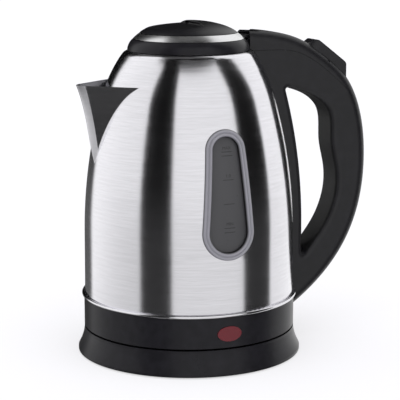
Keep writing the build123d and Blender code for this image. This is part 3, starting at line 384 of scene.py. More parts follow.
@dataclass(frozen=True)
class SoftRubber:
    """Matt rubber or silicone with a dry, dusty bloom."""

    colour: Triple
    roughness: float
    bloom: float = 0.3
    see_through: float = 0.0
    see_depth: float = 4.0 * MM
    bloom_scale: float = 70.0
    bloom_span: Pair = (0.4, 0.75)
    pale_gain: float = 1.6
    pale_lift: float = 0.01
    pit_scale: float = 1800.0
    pit_gloss: float = 0.15
    relief: float = 0.2
    depth: float = 0.08 * MM

    def paint(self, sheet: NodeSheet) -> None:
        """A pale bloom over a fine pitted skin.

        Args:
            sheet: The empty sheet.
        """
        place = sheet.place()
        pits = sheet.noise(place, self.pit_scale)
        dust = sheet.noise(place, self.bloom_scale, detail=4.0, rough=0.6)
        bloom = dust.step(*self.bloom_span) * self.bloom
        pale = tuple(min(1.0, part * self.pale_gain + self.pale_lift) for part in self.colour)
        sheet.surface(
            {
                "Base Color": sheet.blend(bloom, rgba(self.colour), rgba(pale)),
                "Roughness": (self.roughness + pits.swing(self.pit_gloss)).clipped(),
                "Subsurface Weight": self.see_through,
                "Subsurface Scale": self.see_depth,
                "Normal": sheet.bump(pits, self.relief, self.depth),
            }
        )


@dataclass(frozen=True)
class ClearPlastic:
    """Tinted see-through plastic, faintly hazed, with flow lines from the mould."""

    colour: Triple
    roughness: float
    clear: float
    ribs: float = 0.0
    rib_pitch: float = MM
    flow_across: float = 60.0
    flow_along: float = 14.0
    flow_tones: Pair = (0.9, 1.1)
    flow_gloss: float = 0.08
    haze_scale: float = 900.0
    haze_gloss: float = 0.06
    haze_relief: float = 0.3
    # How dark the lines of painted shade are, as a share of the colour.
    shade_line_tone: float = 0.2
    ior: float = 1.49
    relief: float = 0.15
    depth: float = 0.1 * MM

    def paint(self, sheet: NodeSheet) -> None:
        """Haze in the gloss and tone, and ribs and lines of painted shade where the piece has
        them.

        Args:
            sheet: The empty sheet.
        """
        place = sheet.place()
        x, y, z = sheet.axes(place)
        long = sheet.vector(x * self.flow_across, y * self.flow_across, z * self.flow_along)
        flow = sheet.noise(long, 1.0, detail=3.0)
        haze = sheet.noise(place, self.haze_scale)
        ribs = (x * (math.tau / self.rib_pitch)).sine() * 0.5 + 0.5
        gloss = self.roughness + flow.swing(self.flow_gloss) + haze.swing(self.haze_gloss)
        sheet.surface(
            {
                # The "line" layer darkens the colour here. These are lines of painted shade
                # along the bezel's edges and its middle groove.
                "Base Color": sheet.blend(
                    sheet.layer("line"),
                    sheet.shade(flow, self.colour, self.flow_tones),
                    rgba(self.colour, self.shade_line_tone),
                ),
                "Roughness": gloss.clipped(),
                "Transmission Weight": self.clear,
                "IOR": self.ior,
                "Normal": sheet.bump(
                    haze * self.haze_relief + ribs * self.ribs, self.relief, self.depth
                ),
            }
        )


class Look(Enum):
    """The finishes of the kettle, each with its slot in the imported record."""

    BLACK = ("black_plastic", MouldedPlastic((0.0082, 0.008, 0.01), 0.32, specular=0.45))
    SATIN = (
        "black_plastic",
        MouldedPlastic((0.0078, 0.0076, 0.0095), 0.36, 0.6 * MM, 0.16, 0.42),
    )
    GRIP = (
        "grip_plastic",
        MouldedPlastic((0.009, 0.009, 0.0095), 0.46, 0.7 * MM, 0.2, 0.35),
    )
    SKIRT = ("black_plastic", MouldedPlastic((0.0104, 0.01, 0.0126), 0.3, specular=0.22))
    STEEL = ("steel_brushed", BrushedSteel((0.938, 0.93, 0.972)))
    CHROME = ("chrome_trim", PolishedMetal((0.86, 0.86, 0.87), 0.24))
    RUBBER = ("foot_rubber", SoftRubber((0.018, 0.018, 0.018), 0.75))
    SILICONE = ("silicone", SoftRubber((0.5, 0.5, 0.48), 0.5, 0.15, 0.2))
    BRASS = ("contact_brass", PolishedMetal((0.78, 0.56, 0.25), 0.28, 0.12))
    LENS = ("red_lens", ClearPlastic((0.15, 0.008, 0.016), 0.22, 0.25, 0.5))
    LAMP = ("lamp_glass", ClearPlastic((0.85, 0.75, 0.65), 0.08, 0.7))
    PANE = ("smoke_pane", ClearPlastic((0.062, 0.062, 0.066), 0.3, 0.2))
    # The window's inner wall, darker than the pane it is made of: painted shade.
    WALL = ("smoke_pane", ClearPlastic((0.012, 0.012, 0.013), 0.4, 0.0))
    MARK = ("smoke_pane", ClearPlastic((0.034, 0.034, 0.036), 0.4, 0.0))
    BEZEL = ("frame_grey", ClearPlastic((0.28, 0.277, 0.305), 0.3, 0.1))
    ALUMINIUM = ("heater_aluminium", PolishedMetal((0.72, 0.72, 0.72), 0.4, 0.2))
    CONTROL = ("control_plastic", MouldedPlastic((0.05, 0.05, 0.052), 0.55, 0.8 * MM, 0.25))
    SCREW = ("screw_steel", PolishedMetal((0.62, 0.61, 0.58), 0.3, 0.15))
    BLUED = ("screw_steel", PolishedMetal((0.02, 0.02, 0.023), 0.42, 0.12))
    WIRE = ("wire_sleeve", MouldedPlastic((0.3, 0.035, 0.03), 0.45, MM, 0.1))

    def __init__(self, slot: str, finish: Finish) -> None:
        """Keep the record's material slot and the finish."""
        self.slot = slot
        self.finish = finish

    def material(self) -> bpy.types.Material:
        """The finish as a material, made on first use.

        Returns:
            The one material of this look.
        """
        name = "look_" + self.name.lower()
        known = bpy.data.materials.get(name)
        if known is None:
            known = bpy.data.materials.new(name)
            self.finish.paint(NodeSheet(known))
        return known


def dress(look: Look, nodes: Iterable[str]) -> None:
    """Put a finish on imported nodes.

    Args:
        look: The finish.
        nodes: Names of the nodes that wear it.
    """
    for name in nodes:
        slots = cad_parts[name].material_slots
        if not slots:
            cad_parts[name].data.materials.append(look.material())
        for slot in slots:
            slot.material = look.material()
        LOG.info("dressed %s as %s", name, look.name)


def grid_faces(rows: int, columns: int, wrap_rows: bool, wrap_columns: bool) -> Array:
    """Corner numbers of the quads of a grid of points stored row by row.

    Args:
        rows: How many rows of points.
        columns: How many points in a row.
        wrap_rows: Whether the last row joins the first.
        wrap_columns: Whether the last column joins the first.

    Returns:
        One row of four corner numbers for each quad.
    """
    row = np.arange(rows if wrap_rows else rows - 1)[:, None]
    column = np.arange(columns if wrap_columns else columns - 1)[None, :]
    next_row, next_column = (row + 1) % rows, (column + 1) % columns
    corners = (
        row * columns + column,
        row * columns + next_column,
        next_row * columns + next_column,
        next_row * columns + column,
    )
    return np.stack(np.broadcast_arrays(*corners), axis=-1).reshape(-1, 4)


@dataclass(frozen=True)
class Skin:
    """A surface as arrays: its points, the corners of face after face, and their counts."""

    points: Array
    corners: Array
    counts: Array

    @classmethod
    def of_quads(cls, points: Array, quads: Array) -> "Skin":
        """A surface of quads, from its points and the quads' corners."""
        return cls(points.reshape(-1, 3), quads.ravel(), np.full(len(quads), 4))

    @classmethod
    def joined(cls, parts: Sequence["Skin"]) -> "Skin":
        """Several surfaces as one, each part's corners counted on from the last part's.

        Args:
            parts: The surfaces to join.

        Returns:
            The one surface.
        """
        starts = np.cumsum([0] + [len(part.points) for part in parts])
        return cls(
            np.concatenate([part.points for part in parts]),
            np.concatenate([part.corners + start for part, start in zip(parts, starts)]),
            np.concatenate([part.counts for part in parts]),
        )


def make_object(name: str, skin: Skin, smooth: bool = True) -> bpy.types.Object:
    """Make a mesh object from a surface, at the origin.

    Args:
        name: The piece's name.
        skin: Its surface.
        smooth: Whether its faces are shaded smooth.

    Returns:
        The object, linked to the scene.
    """
    mesh = bpy.data.meshes.new(name)
    mesh.vertices.add(len(skin.points))
    mesh.vertices.foreach_set("co", skin.points.ravel())
    mesh.loops.add(len(skin.corners))
    mesh.loops.foreach_set("vertex_index", skin.corners)
    mesh.polygons.add(len(skin.counts))
    mesh.polygons.foreach_set("loop_start", np.cumsum(skin.counts) - skin.counts)
    mesh.polygons.foreach_set("use_smooth", np.full(len(skin.counts), smooth))
    mesh.update(calc_edges=True)
    made = bpy.data.objects.new(name, mesh)
    bpy.context.scene.collection.objects.link(made)
    return made


def weld_points(mesh: bpy.types.Mesh, distance: float) -> None:
    """Merge points that meet, so that seams close and faces with no area go.

    Args:
        mesh: The mesh to mend.
        distance: How near two points have to be.
    """
    work = bmesh.new()
    work.from_mesh(mesh)
    bmesh.ops.remove_doubles(work, verts=work.verts, dist=distance)
    work.to_mesh(mesh)
    work.free()


def finish_piece(
    piece: bpy.types.Object, look: Look, body: str, replaced: Sequence[str] = ()
) -> None:
    """Dress a new piece and tie it to its body.

    Args:
        piece: The new piece.
        look: Its finish.
        body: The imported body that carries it.
        replaced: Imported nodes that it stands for.
    """
    piece.data.materials.append(look.material())
    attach(piece, body)
    if replaced:
        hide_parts(*replaced)
    LOG.info("made %s on %s with %d faces", piece.name, body, len(piece.data.polygons))


@dataclass(frozen=True)
class JugWall:
    """The steel wall's outline: a straight foot, two long arcs and a tight shoulder.

    Leans are in degrees, at the foot and at the end of each arc.
    """

    foot_radius: float = 74.9 * MM
    foot_height: float = 42.0 * MM
    straight: float = 45.3 * MM
    leans: tuple[float, ...] = (0.34, 16.2, 35.7, 90.0)
    arcs: tuple[float, ...] = (357.0 * MM, 92.1 * MM, 6.6 * MM)
    arc_count: int = 60

    def outline(self) -> tuple[Array, Array, Array]:
        """Radius, height and lean along the wall.

        Each arc's points are its centre plus its radius along the lean's direction, and each
        arc starts where the one before it ends, so the line stays smooth.

        Returns:
            Radii, heights and leans in radians, from the foot to the neck.
        """
        lean = math.radians(self.leans[0])
        inward = math.tan(lean) * self.straight
        start = np.array([self.foot_radius - inward, self.foot_height + self.straight])
        parts = [np.array([[self.foot_radius, self.foot_height, lean]])]
        for arc, low, high in zip(self.arcs, self.leans, self.leans[1:]):
            turn = np.radians(np.linspace(low, high, self.arc_count))
            ways = np.stack([np.cos(turn), np.sin(turn)], axis=1)
            points = start + arc * (ways - ways[0])
            parts.append(np.column_stack([points, turn]))
            start = points[-1]
        line = np.concatenate(parts)
        return line[:, 0], line[:, 1], line[:, 2]

    def on_front(self, x: Array, z: Array, lift: Array) -> Array:
        """Points over the wall's front, towards -Y.

        The wall's radius at the height, plus the lift over the cosine of the lean, gives a
        circle; the point is where that circle stands at X.

        Args:
            x: Sideways places.
            z: Heights.
            lift: Distances out from the steel.

        Returns:
            X, Y and Z of the points, stacked along a last axis.
        """
        radii, heights, leans = self.outline()
        radius = np.interp(z, heights, radii) + lift / np.cos(np.interp(z, heights, leans))
        return np.stack(np.broadcast_arrays(x, -np.sqrt(radius**2 - x**2), z), axis=-1)


@dataclass
class WaterWindow:
    """The tall water window: its ridged bezel and the level marks on its pane.

    The pane's edge runs round two circles, high and low. A mark holds its text, size and
    height; marks and ticks are in millimetres.
    """

    wall: JugWall = field(default_factory=JugWall)
    high: float = 153.5 * MM
    low: float = 98.8 * MM
    high_radius: float = 9.5 * MM
    low_radius: float = 13.8 * MM
    edge_count: int = 70
    width: float = 5.0 * MM
    rise: float = 1.75 * MM
    foot: float = 0.08 * MM
    shoulder_power: float = 5.0
    dip: float = 0.62
    ridge_count: int = 36
    foot_count: int = 4
    # Widths and depth of the painted shade lines along the bezel's edges and its middle groove.
    edge_shade_width: float = 0.14
    groove_shade_width: float = 0.1
    groove_shade_depth: float = 0.6
    pane_depth: float = 1.8 * MM
    marks: tuple[tuple[str, float, float], ...] = (
        ("MAX", 2.9, 155.2),
        ("1.0", 3.1, 136.8),
        ("MIN", 2.9, 104.6),
    )
    mark_x: float = 1.2 * MM
    mark_lift: float = 0.12 * MM
    mark_sink: float = 0.05 * MM
    letter_steps: int = 4
    seam: float = 0.001 * MM
    ticks: tuple[float, ...] = (152.8, 150.2, 134.2, 118.0, 101.8, 98.9)
    tick_half: float = 4.2 * MM
    tick_thick: float = 0.28 * MM
    tick_share: float = 0.9
    tick_power: float = 8.0
    tick_end: float = 0.02
    tick_rows: int = 15
    tick_columns: int = 12

    def edge(self) -> tuple[Array, Array]:
        """The pane's edge as seen from the front, with the ways square to it.

        The edge is the hull of two circles: the top circle's upper arc, a straight flank, the
        bottom circle's lower arc and the other flank. A point is its circle's centre plus the
        radius along its turn. On an arc only the turn changes, and on a flank only the centre
        and the radius do, each evenly.

        Returns:
            Points and outward ways, as X and Z.
        """
        tilt = math.asin((self.low_radius - self.high_radius) / (self.high - self.low))
        knots = np.array(
            [
                (tilt, self.high_radius, self.high),
                (math.pi - tilt, self.high_radius, self.high),
                (math.pi - tilt, self.low_radius, self.low),
                (math.tau + tilt, self.low_radius, self.low),
                (math.tau + tilt, self.high_radius, self.high),
            ]
        )
        share = np.linspace(0.0, 1.0, self.edge_count, endpoint=False)[None, :, None]
        runs = knots[:-1, None] + np.diff(knots, axis=0)[:, None] * share
        turn, radius, centre = runs.reshape(-1, 3).T
        ways = np.stack([np.cos(turn), np.sin(turn)], axis=1)
        return ways * radius[:, None] + np.stack([0.0 * centre, centre], axis=1), ways

    def bezel_profile(self) -> tuple[Array, Array]:
        """The bezel's section: two rounded ridges over a flat foot.

        Across the width the height is the rise, times a rounded shoulder that drops to the
        foot at both edges, times two cosine humps that dip between the ridges.

        Returns:
            Distances out from the pane's edge, and heights above the steel.
        """
        share = 0.5 - 0.5 * np.cos(np.linspace(0.0, math.pi, self.ridge_count))
        drop = np.abs(2.0 * share - 1.0) ** self.shoulder_power
        shoulder = np.clip(1.0 - drop, 0.0, 1.0) ** 0.5
        humps = self.dip + (1.0 - self.dip) * 0.5 * (1.0 - np.cos(4.0 * math.pi * share))
        over = self.foot + (self.rise - self.foot) * shoulder * humps
        under = np.linspace(1.0, 0.0, self.foot_count + 2)[1:-1]
        return (
            np.concatenate([share, under]) * self.width,
            np.concatenate([over, np.full_like(under, self.foot)]),
        )

    def build_bezel(self) -> None:
        """Carry the bezel's section round the pane's edge, over the steel wall."""
        points, ways = self.edge()
        across, lift = self.bezel_profile()
        flat = points[:, None] + ways[:, None] * across[None, :, None]
        grid = self.wall.on_front(flat[..., 0], flat[..., 1], lift[None, :])
        quads = grid_faces(grid.shape[0], grid.shape[1], True, True)
        piece = make_object("window_bezel", Skin.of_quads(grid, quads))
        # Painted shade: the "line" layer is dark along the bezel's outer and inner edges, where
        # it meets the steel and the pane, and along the groove between its ridges.
        share = np.clip(across / self.width, 0.0, 1.0)
        rim = 1.0 - np.minimum(share, 1.0 - share) / self.edge_shade_width
        shaded_groove = self.groove_shade_depth - np.abs(share - 0.5) / self.groove_shade_width
        line = np.clip(np.maximum(rim, shaded_groove), 0.0, 1.0)
        layer = piece.data.attributes.new("line", "FLOAT", "POINT")
        layer.data.foreach_set("value", np.tile(line, len(points)))
        finish_piece(piece, Look.BEZEL, "kettle", ["window_frame"])

    def _on_pane(self, x: Array, z: Array, lift: Array) -> Array:
        """Points over the pane's face, at distances out from it."""
        return self.wall.on_front(x, z, lift - self.pane_depth)

    def _figure(self, text: str, size: float, height: float) -> Skin:
        """One mark's letters as a thin solid on the pane.

        Args:
            text: The mark.
            size: Its height of letters in millimetres.
            height: Its middle's height in millimetres.

        Returns:
            The letters' surface.
        """
        curve = bpy.data.curves.new("mark", "FONT")
        curve.body = text
        curve.size = size * MM
        curve.align_x = "CENTER"
        curve.align_y = "CENTER"
        curve.extrude = 0.5 * (self.mark_lift + self.mark_sink)
        curve.resolution_u = self.letter_steps
        holder = bpy.data.objects.new("mark", curve)
        mesh = bpy.data.meshes.new_from_object(holder)
        weld_points(mesh, self.seam)
        places = np.empty(len(mesh.vertices) * 3)
        mesh.vertices.foreach_get("co", places)
        corners = np.empty(len(mesh.loops), dtype=np.int32)
        mesh.loops.foreach_get("vertex_index", corners)
        counts = np.empty(len(mesh.polygons), dtype=np.int32)
        mesh.polygons.foreach_get("loop_total", counts)
        bpy.data.objects.remove(holder)
        bpy.data.curves.remove(curve)
        bpy.data.meshes.remove(mesh)
        x, up, out = places.reshape(-1, 3).T
        lift = out + 0.5 * (self.mark_lift - self.mark_sink)
        return Skin(self._on_pane(x + self.mark_x, up + height * MM, lift), corners, counts)

    def _tick(self, height: float) -> Skin:
        """One tick: a thin bar with an oval section that shrinks at both ends.

        Args:
            height: Its height in millimetres.

        Returns:
            The bar's surface, with its two ends closed.
        """
        rows, columns = self.tick_rows, self.tick_columns
        along = np.linspace(-1.0, 1.0, rows)[:, None]
        turn = np.linspace(0.0, math.tau, columns, endpoint=False)[None, :]
        swell = np.clip(1.0 - np.abs(along) ** self.tick_power, self.tick_end, 1.0) ** 0.5
        x = along * self.tick_half + self.mark_x
        z = height * MM + self.tick_thick * swell * np.cos(turn)
        lift = self.mark_lift * swell * np.sin(turn) * self.tick_share
        quads = grid_faces(rows, columns, False, True)
        first = np.arange(columns)
        return Skin(
            self._on_pane(x, z, lift).reshape(-1, 3),
            np.concatenate([quads.ravel(), first[::-1], first + (rows - 1) * columns]),
            np.append(np.full(len(quads), 4), [columns, columns]),
        )

    def build_marks(self) -> None:
        """Join the level marks into one printed piece on the pane."""
        parts = [self._figure(*mark) for mark in self.marks]
        parts += [self._tick(height) for height in self.ticks]
        piece = make_object("level_marks", Skin.joined(parts), smooth=False)
        finish_piece(piece, Look.MARK, "kettle")

    def build(self) -> None:
        """Make the bezel and the marks, and dress the pane with its seal."""
        dress(Look.PANE, ["window_pane"])
        # The sleeve is dressed darker than the pane as painted shade.
        dress(Look.WALL, ["window_sleeve"])
        dress(Look.SILICONE, ["window_gasket"])
        self.build_bezel()
        self.build_marks()


@dataclass
class PouringSpout:
    """The folded spout: two flat sides and a narrow nose, welded on the steel wall.

    Each level holds its height, the reach and half width of the folds that bound the nose, and
    the reach of the nose itself, in millimetres. The degrees are those of the smooth curves
    through the last three.
    """

    wall: JugWall = field(default_factory=JugWall)
    levels: tuple[tuple[float, float, float, float], ...] = (
        (194.0, 79.3, 7.0, 82.7),
        (186.0, 76.7, 6.65, 79.75),
        (179.0, 74.7, 6.35, 77.75),
        (170.0, 72.7, 6.1, 76.0),
        (163.0, 71.4, 5.9, 74.95),
        (157.0, 70.4, 5.65, 73.9),
        (151.0, 69.4, 5.35, 72.7),
        (145.0, 68.4, 5.0, 71.4),
        (138.0, 67.3, 4.5, 70.3),
    )
    degrees: tuple[int, int, int] = (2, 2, 3)
    half_angle: float = math.radians(37.8)
    weight: float = 3.0
    sheet: float = 0.9 * MM
    outer_sink: float = 0.15 * MM
    inner_sink: float = 0.45 * MM
    weld: float = 1.6 * MM
    inner_weld: float = 0.2 * MM
    seam: float = 0.0015 * MM
    crease: float = math.radians(40.0)
    rows: int = 64
    weld_count: int = 9
    side_count: int = 14
    nose_count: int = 41

    @property
    def along(self) -> Array:
        """The way from the far fold to the wall, as X and Y."""
        return np.array([math.cos(self.half_angle), math.sin(self.half_angle)])

    def curves(self) -> tuple[Array, Array, Array, Array]:
        """The levels' values as smooth curves of the height.

        Returns:
            Heights, folds' reach, folds' half width and nose's reach, from foot to rim.
        """
        place, *lines = np.array(self.levels).T * MM
        middle = place.mean()
        z = np.linspace(place[-1], place[0], self.rows)
        fold, half, nose = (
            np.polyval(np.polyfit(place - middle, line, degree), z - middle)
            for line, degree in zip(lines, self.degrees)
        )
        return z, fold, half, nose

    def side(self, touch: Array, skin: Array, weld: float) -> Array:
        """The far side: a straight line at the half angle that ends in a hollow weld.

        The line runs from the fold to its root on the wall's circle. The weld is a parabola
        from the wall to the line, whose control point is the root.

        Args:
            touch: X and Y of the fold, for each height.
            skin: Radius of the circle, for each height.
            weld: How far the weld reaches along the side and along the wall.

        Returns:
            X and Y of the points, for each height from the wall to the fold.
        """
        toward = touch @ self.along
        gap = np.sqrt(np.clip(toward**2 - (touch**2).sum(axis=1) + skin**2, 0.0, None))
        run = np.clip(-toward - gap, 0.0, None)[:, None, None]
        touch = touch[:, None, :]
        root = touch + run * self.along
        start = touch + np.clip(run - weld, 0.0, None) * self.along
        turn = weld / skin[:, None]
        x, y = root[:, :, 0], root[:, :, 1]
        foot_x = x * np.cos(turn) + y * np.sin(turn)
        foot_y = y * np.cos(turn) - x * np.sin(turn)
        foot = np.stack([foot_x, foot_y], axis=-1)
        u = np.linspace(0.0, 1.0, self.weld_count, endpoint=False)[None, :, None]
        hollow = (1.0 - u) ** 2 * foot + 2.0 * u * (1.0 - u) * root + u**2 * start
        share = np.linspace(1.0, 0.0, self.side_count, endpoint=False)[None, :, None]
        return np.concatenate([hollow, touch + share * (start - touch)], axis=1)

    def nose(self, touch: Array, reach: Array, mirror: Array) -> Array:
        """The nose: a conic between the two folds, whose weight keeps it narrow.

        Args:
            touch: X and Y of the far fold, for each height.
            reach: How far out the nose comes, for each height.
            mirror: Factors that turn the far fold into the near one.

        Returns:
            X and Y of the points, for each height from the far fold to the near one.
        """
        tip = (self.weight + 1.0) * reach + touch[:, 0]
        corner = np.stack([-tip / self.weight, 0.0 * tip], axis=1)[:, None, :]
        touch = touch[:, None, :]
        s = np.linspace(0.0, 1.0, self.nose_count)[None, :, None]
        first, second, third = (1.0 - s) ** 2, 2.0 * s * (1.0 - s) * self.weight, s**2
        bend = first * touch + second * corner + third * touch * mirror
        return bend / (first + second + third)

    def section(self, inset: float, sink: float, weld: float) -> Array:
        """The spout's sections, from its far side round the nose to its near side.

        The near side mirrors the far one. Points that would lie inside the wall are pushed
        out to just under its surface.

        Args:
            inset: How far the surface lies inside the outer one.
            sink: How far under the wall's surface the sides end.
            weld: How far the weld reaches along the side and along the wall.

        Returns:
            X, Y and Z of the points, in rows from the foot to the rim.
        """
        z, fold, half, reach = self.curves()
        radii, heights, _ = self.wall.outline()
        skin = np.interp(z, heights, radii) - sink
        mirror = np.array([1.0, -1.0])
        touch = np.stack([inset * self.along[1] - fold, half - inset * self.along[0]], axis=1)
        far = self.side(touch, skin, weld)
        nose = self.nose(touch, reach - inset, mirror)
        flat = np.concatenate([far, nose, far[:, ::-1] * mirror], axis=1)
        out = np.linalg.norm(flat, axis=2, keepdims=True)
        flat = flat * np.maximum(1.0, skin[:, None, None] / out)
        return np.concatenate([flat, np.broadcast_to(z[:, None, None], out.shape)], axis=2)

    def build(self) -> None:
        """Join the outer and the inner surface at the rim, the sides' ends and the foot."""
        outer = self.section(0.0, self.outer_sink, self.weld)
        inner = self.section(self.sheet, self.inner_sink, self.inner_weld)[:, ::-1]
        grid = np.concatenate([outer, inner], axis=1)
        rows, columns = grid.shape[:2]
        half = columns // 2
        first = np.arange(half - 1)
        foot = np.stack([first, columns - 1 - first, columns - 2 - first, first + 1], axis=1)
        rim = foot[:, ::-1] + (rows - 1) * columns
        quads = np.concatenate([grid_faces(rows, columns, False, True), foot, rim])
        piece = make_object("pouring_spout", Skin.of_quads(grid, quads))
        # Marks the inner side for the material, which makes it rougher and darkens it as
        # painted shade.
        inside = np.tile(np.arange(columns) >= half, rows)
        layer = piece.data.attributes.new("dull_and_shaded", "FLOAT", "POINT")
        layer.data.foreach_set("value", inside.astype(float))
        weld_points(piece.data, self.seam)
        piece.data.set_sharp_from_angle(angle=self.crease)
        finish_piece(piece, Look.STEEL, "kettle", ["spout"])


Wear = tuple[tuple[Look, tuple[str, ...]], ...]


@dataclass
class SubAssembly:
    """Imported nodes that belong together, with the finish that each wears."""

    wear: Wear

    def build(self) -> None:
        """Dress the nodes."""
        for look, nodes in self.wear:
            dress(look, nodes)


@dataclass
class PowerBase(SubAssembly):
    """The round base that stays on the table."""

    wear: Wear = (
        (Look.SKIRT, ("base_cover", "base_plate")),
        (Look.RUBBER, ("base_foot", "cord_gland")),
        (Look.CONTROL, ("base_socket",)),
        (Look.SCREW, ("base_screws",)),
        (Look.BRASS, ("socket_contacts",)),
    )


@dataclass
class Jug(SubAssembly):
    """The steel jug with its skirt, heater, collar and spout."""

    wear: Wear = (
        (Look.STEEL, ("body_shell", "spout", "heater_plate", "spout_strainer")),
        (Look.SKIRT, ("bottom_skirt", "top_collar")),
        (Look.SCREW, ("skirt_screws", "hinge_pin")),
        (Look.CONTROL, ("control_unit",)),
        (Look.BRASS, ("plug_contacts", "control_bimetals")),
        (Look.ALUMINIUM, ("heat_spreader", "heating_element")),
        (Look.LENS, ("indicator_lens",)),
        (Look.LAMP, ("indicator_lamp",)),
    )


@dataclass
class Handle(SubAssembly):
    """The loop handle, with the switch and the steam control inside it."""

    wear: Wear = (
        (Look.SATIN, ("handle_housing", "handle_cover", "switch_paddle")),
        (Look.GRIP, ("grip_insert",)),
        (Look.SCREW, ("handle_screws", "lever_pin")),
        (Look.BLUED, ("switch_pin",)),
        (Look.BRASS, ("steam_bimetal",)),
        (Look.CONTROL, ("steam_control", "trip_lever")),
        (Look.SILICONE, ("steam_duct",)),
        (Look.WIRE, ("handle_wires",)),
    )


@dataclass
class Lid(SubAssembly):
    """The hinged lid with its chrome ring."""

    wear: Wear = (
        (Look.BLACK, ("lid_cover", "lid_plate")),
        (Look.CHROME, ("lid_trim",)),
        (Look.SILICONE, ("lid_seal",)),
        (Look.SCREW, ("lid_screws",)),
    )


@dataclass(frozen=True)
class Card:
    """A studio card: a patch of a sphere round the kettle, seen only in reflections.

    Attributes:
        name: The card's name.
        turn: Its left and right edge in degrees, to the right from the camera's side.
        rise: Its lower and upper edge in degrees.
        feather: How wide its left, right and lower edge fade out, in degrees.
        tones: Its grey below and above.
        ends: The heights in degrees between which the grey changes.
        distance: The sphere's radius in metres.
    """

    name: str
    turn: Pair
    rise: Pair
    feather: Triple = (3.0, 3.0, 2.0)
    tones: Pair = (0.028, 0.001)
    ends: Pair = (-9.0, 5.0)
    distance: float = 4.0


# Shared by several cards: the full height, a hard edge, a veil's ends and distance.
TALL: Pair = (-70.0, 75.0)
HARD = 0.01
VEIL: tuple[Pair, float] = ((-12.0, 8.0), 5.0)


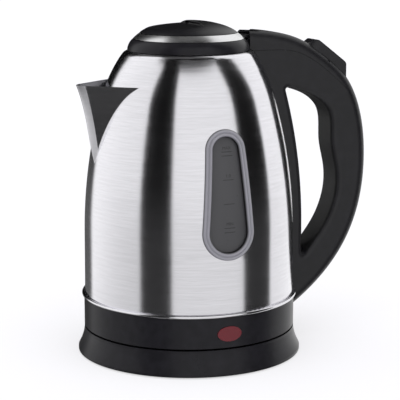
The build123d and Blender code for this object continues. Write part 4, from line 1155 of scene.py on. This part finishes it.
@dataclass
class Studio:
    """Floor, white surroundings, cards, a lamp and the photograph's camera."""

    camera_place: Triple = (-0.38089, -0.96694, 0.30957)
    camera_way: Triple = (0.36684, 0.91062, -0.19029)
    lens: float = 133.2
    sensor: float = 36.0
    far_end: float = 60.0
    sky: float = 0.85
    floor_white: float = 0.6
    floor_colour: Triple = (0.9, 0.89, 0.96)
    floor_start: float = 0.1
    floor_radius: float = 12.0
    floor_rings: int = 24
    floor_spokes: int = 64
    lamp_from: Triple = (-0.1, -0.35, 0.93)
    lamp_spread: float = 60.0
    lamp_power: float = 1.2
    card_columns: int = 25
    card_rows: int = 17
    cards: tuple[Card, ...] = (
        Card("card_left", (-55.0, -16.5), TALL, (4.0, 3.0, 2.0)),
        Card("card_right", (60.6, 100.4), TALL),
        Card("card_far_left", (-190.0, -128.0), TALL, (5.0, 10.0, 2.0), (0.1, 0.005)),
        Card("card_top", (-94.0, 112.0), (54.0, 86.0), (34.0, 26.0, 3.0)),
        Card(
            "card_nose", (-136.0, -58.0), (-70.0, -15.0), (8.0, 2.0, 2.0),
            (0.05, 0.64), (-34.0, -15.0), 3.8,
        ),
        Card(
            "card_side", (-58.5, -16.5), (-70.0, -24.0), (3.0, 3.0, 2.0),
            (0.05, 0.05), (-60.0, -50.0), 3.9,
        ),
        Card("card_back", (154.0, 210.0), (10.0, 75.0), (26.0, 10.0, 6.0)),
        Card("veil_left", (-132.0, -38.0), TALL, (80.0, HARD, 2.0), (0.66, 0.84), *VEIL),
        Card("veil_middle", (-38.0, 80.0), TALL, (HARD, HARD, 2.0), (0.72, 0.86), *VEIL),
        Card("veil_right", (80.0, 160.0), TALL, (HARD, 60.0, 2.0), (0.82, 0.92), *VEIL),
        Card(
            "card_cap", (-180.0, 180.0), (62.0, 90.0), (HARD, HARD, 8.0),
            (0.125, 0.125), distance=4.5,
        ),
    )

    def build_camera(self) -> None:
        """Set the camera at the photograph's place."""
        data = bpy.data.cameras.new("camera")
        data.lens = self.lens
        data.sensor_width = self.sensor
        data.clip_end = self.far_end
        camera = bpy.data.objects.new("camera", data)
        camera.location = self.camera_place
        camera.rotation_mode = "QUATERNION"
        camera.rotation_quaternion = Vector(self.camera_way).to_track_quat("-Z", "Y")
        bpy.context.scene.collection.objects.link(camera)
        bpy.context.scene.camera = camera

    def build_world(self) -> None:
        """White where the camera, gloss or glass looks, and softer as light on the object."""
        world = bpy.data.worlds.new("surroundings")
        bpy.context.scene.world = world
        sheet = NodeSheet(world)
        path = sheet.node("ShaderNodeLightPath", {}, {}, "Is Camera Ray")
        seen = path + path.other("Is Glossy Ray") + path.other("Is Transmission Ray")
        strength = seen.clipped() * (1.0 - self.sky) + self.sky
        light = sheet.node(
            "ShaderNodeBackground", {}, {"Color": rgba(WHITE), "Strength": strength}
        )
        sheet.node("ShaderNodeOutputWorld", {}, {"Surface": light})

    def build_floor(self) -> None:
        """A plain pale disc: white to the camera, with the object's own shadow."""
        steps = np.geomspace(self.floor_start, self.floor_radius, self.floor_rings)
        radius = np.concatenate([[0.0], steps])[:, None]
        turn = np.linspace(0.0, math.tau, self.floor_spokes, endpoint=False)[None, :]
        across = (radius * np.cos(turn), radius * np.sin(turn), 0.0)
        grid = np.stack(np.broadcast_arrays(*across), axis=-1)
        quads = grid_faces(len(radius), self.floor_spokes, False, True)
        floor = make_object("floor", Skin.of_quads(grid, quads))
        material = bpy.data.materials.new("floor_paper")
        sheet = NodeSheet(material)
        path = sheet.node("ShaderNodeLightPath", {}, {}, "Is Camera Ray")
        paper = sheet.node("ShaderNodeBsdfDiffuse", {}, {"Color": rgba(self.floor_colour)})
        white = sheet.node("ShaderNodeEmission", {}, {"Color": rgba(WHITE)})
        sheet.cover(path * self.floor_white, paper, white)
        floor.data.materials.append(material)
        floor.visible_glossy = False

    def card_material(self, card: Card) -> bpy.types.Material:
        """The card's glow, clear where its edges fade out.

        Args:
            card: The card, whose mesh keeps shares of its width and height as UV.

        Returns:
            The card's own material.
        """
        material = bpy.data.materials.new(card.name)
        sheet = NodeSheet(material)
        across, up, _ = sheet.axes(sheet.node("ShaderNodeUVMap", {"uv_map": "edge"}, {}))
        width, height = card.turn[1] - card.turn[0], card.rise[1] - card.rise[0]
        left, right, bottom = card.feather
        share = (
            across.step(0.0, left / width)
            * (1.0 - across).step(0.0, right / width)
            * up.step(0.0, bottom / height)
        )
        level = up.step(*((end - card.rise[0]) / height for end in card.ends))
        tone = sheet.shade(level, WHITE, card.tones)
        glow = sheet.node("ShaderNodeEmission", {}, {"Color": tone})
        sheet.cover(share, sheet.node("ShaderNodeBsdfTransparent", {}, {}), glow)
        return material

    def build_card(self, card: Card) -> None:
        """One card: the points of a sphere at the card's turns and heights.

        Args:
            card: The card to make.
        """
        share_u = np.linspace(0.0, 1.0, self.card_columns)[:, None]
        share_v = np.linspace(0.0, 1.0, self.card_rows)[None, :]
        front = math.atan2(-self.camera_way[1], -self.camera_way[0])
        turn = front + np.radians(card.turn[0] + (card.turn[1] - card.turn[0]) * share_u)
        rise = np.radians(card.rise[0] + (card.rise[1] - card.rise[0]) * share_v)
        ways = (np.cos(rise) * np.cos(turn), np.cos(rise) * np.sin(turn), np.sin(rise))
        grid = card.distance * np.stack(np.broadcast_arrays(*ways), axis=-1)
        quads = grid_faces(self.card_columns, self.card_rows, False, False)
        made = make_object(card.name, Skin.of_quads(grid, quads))
        layer = made.data.uv_layers.new(name="edge")
        places = np.stack(np.broadcast_arrays(share_u, share_v), axis=-1).reshape(-1, 2)
        layer.data.foreach_set("uv", places[quads].ravel())
        made.data.materials.append(self.card_material(card))
        for ray in ("camera", "diffuse", "transmission", "shadow", "volume_scatter"):
            setattr(made, "visible_" + ray, False)

    def build_lamp(self) -> None:
        """One wide, soft lamp far off, which gives the shadow its side."""
        data = bpy.data.lights.new("lamp_key", "SUN")
        data.angle = math.radians(self.lamp_spread)
        data.energy = self.lamp_power
        lamp = bpy.data.objects.new("lamp_key", data)
        lamp.visible_glossy = False
        lamp.rotation_mode = "QUATERNION"
        lamp.rotation_quaternion = (-Vector(self.lamp_from)).to_track_quat("-Z", "Y")
        bpy.context.scene.collection.objects.link(lamp)

    def build(self) -> None:
        """Set up the whole studio."""
        bpy.context.scene.view_settings.view_transform = "Standard"
        self.build_camera()
        self.build_world()
        self.build_floor()
        for card in self.cards:
            self.build_card(card)
        self.build_lamp()
        LOG.info("built the studio")


def main() -> None:
    """Build the studio, and build and dress every sub-assembly."""
    logging.basicConfig(level=logging.INFO, format="%(name)s: %(message)s")
    for part in (Studio(), PowerBase(), Jug(), PouringSpout(), WaterWindow(), Handle(), Lid()):
        part.build()


if __name__ == "__main__":
    main()
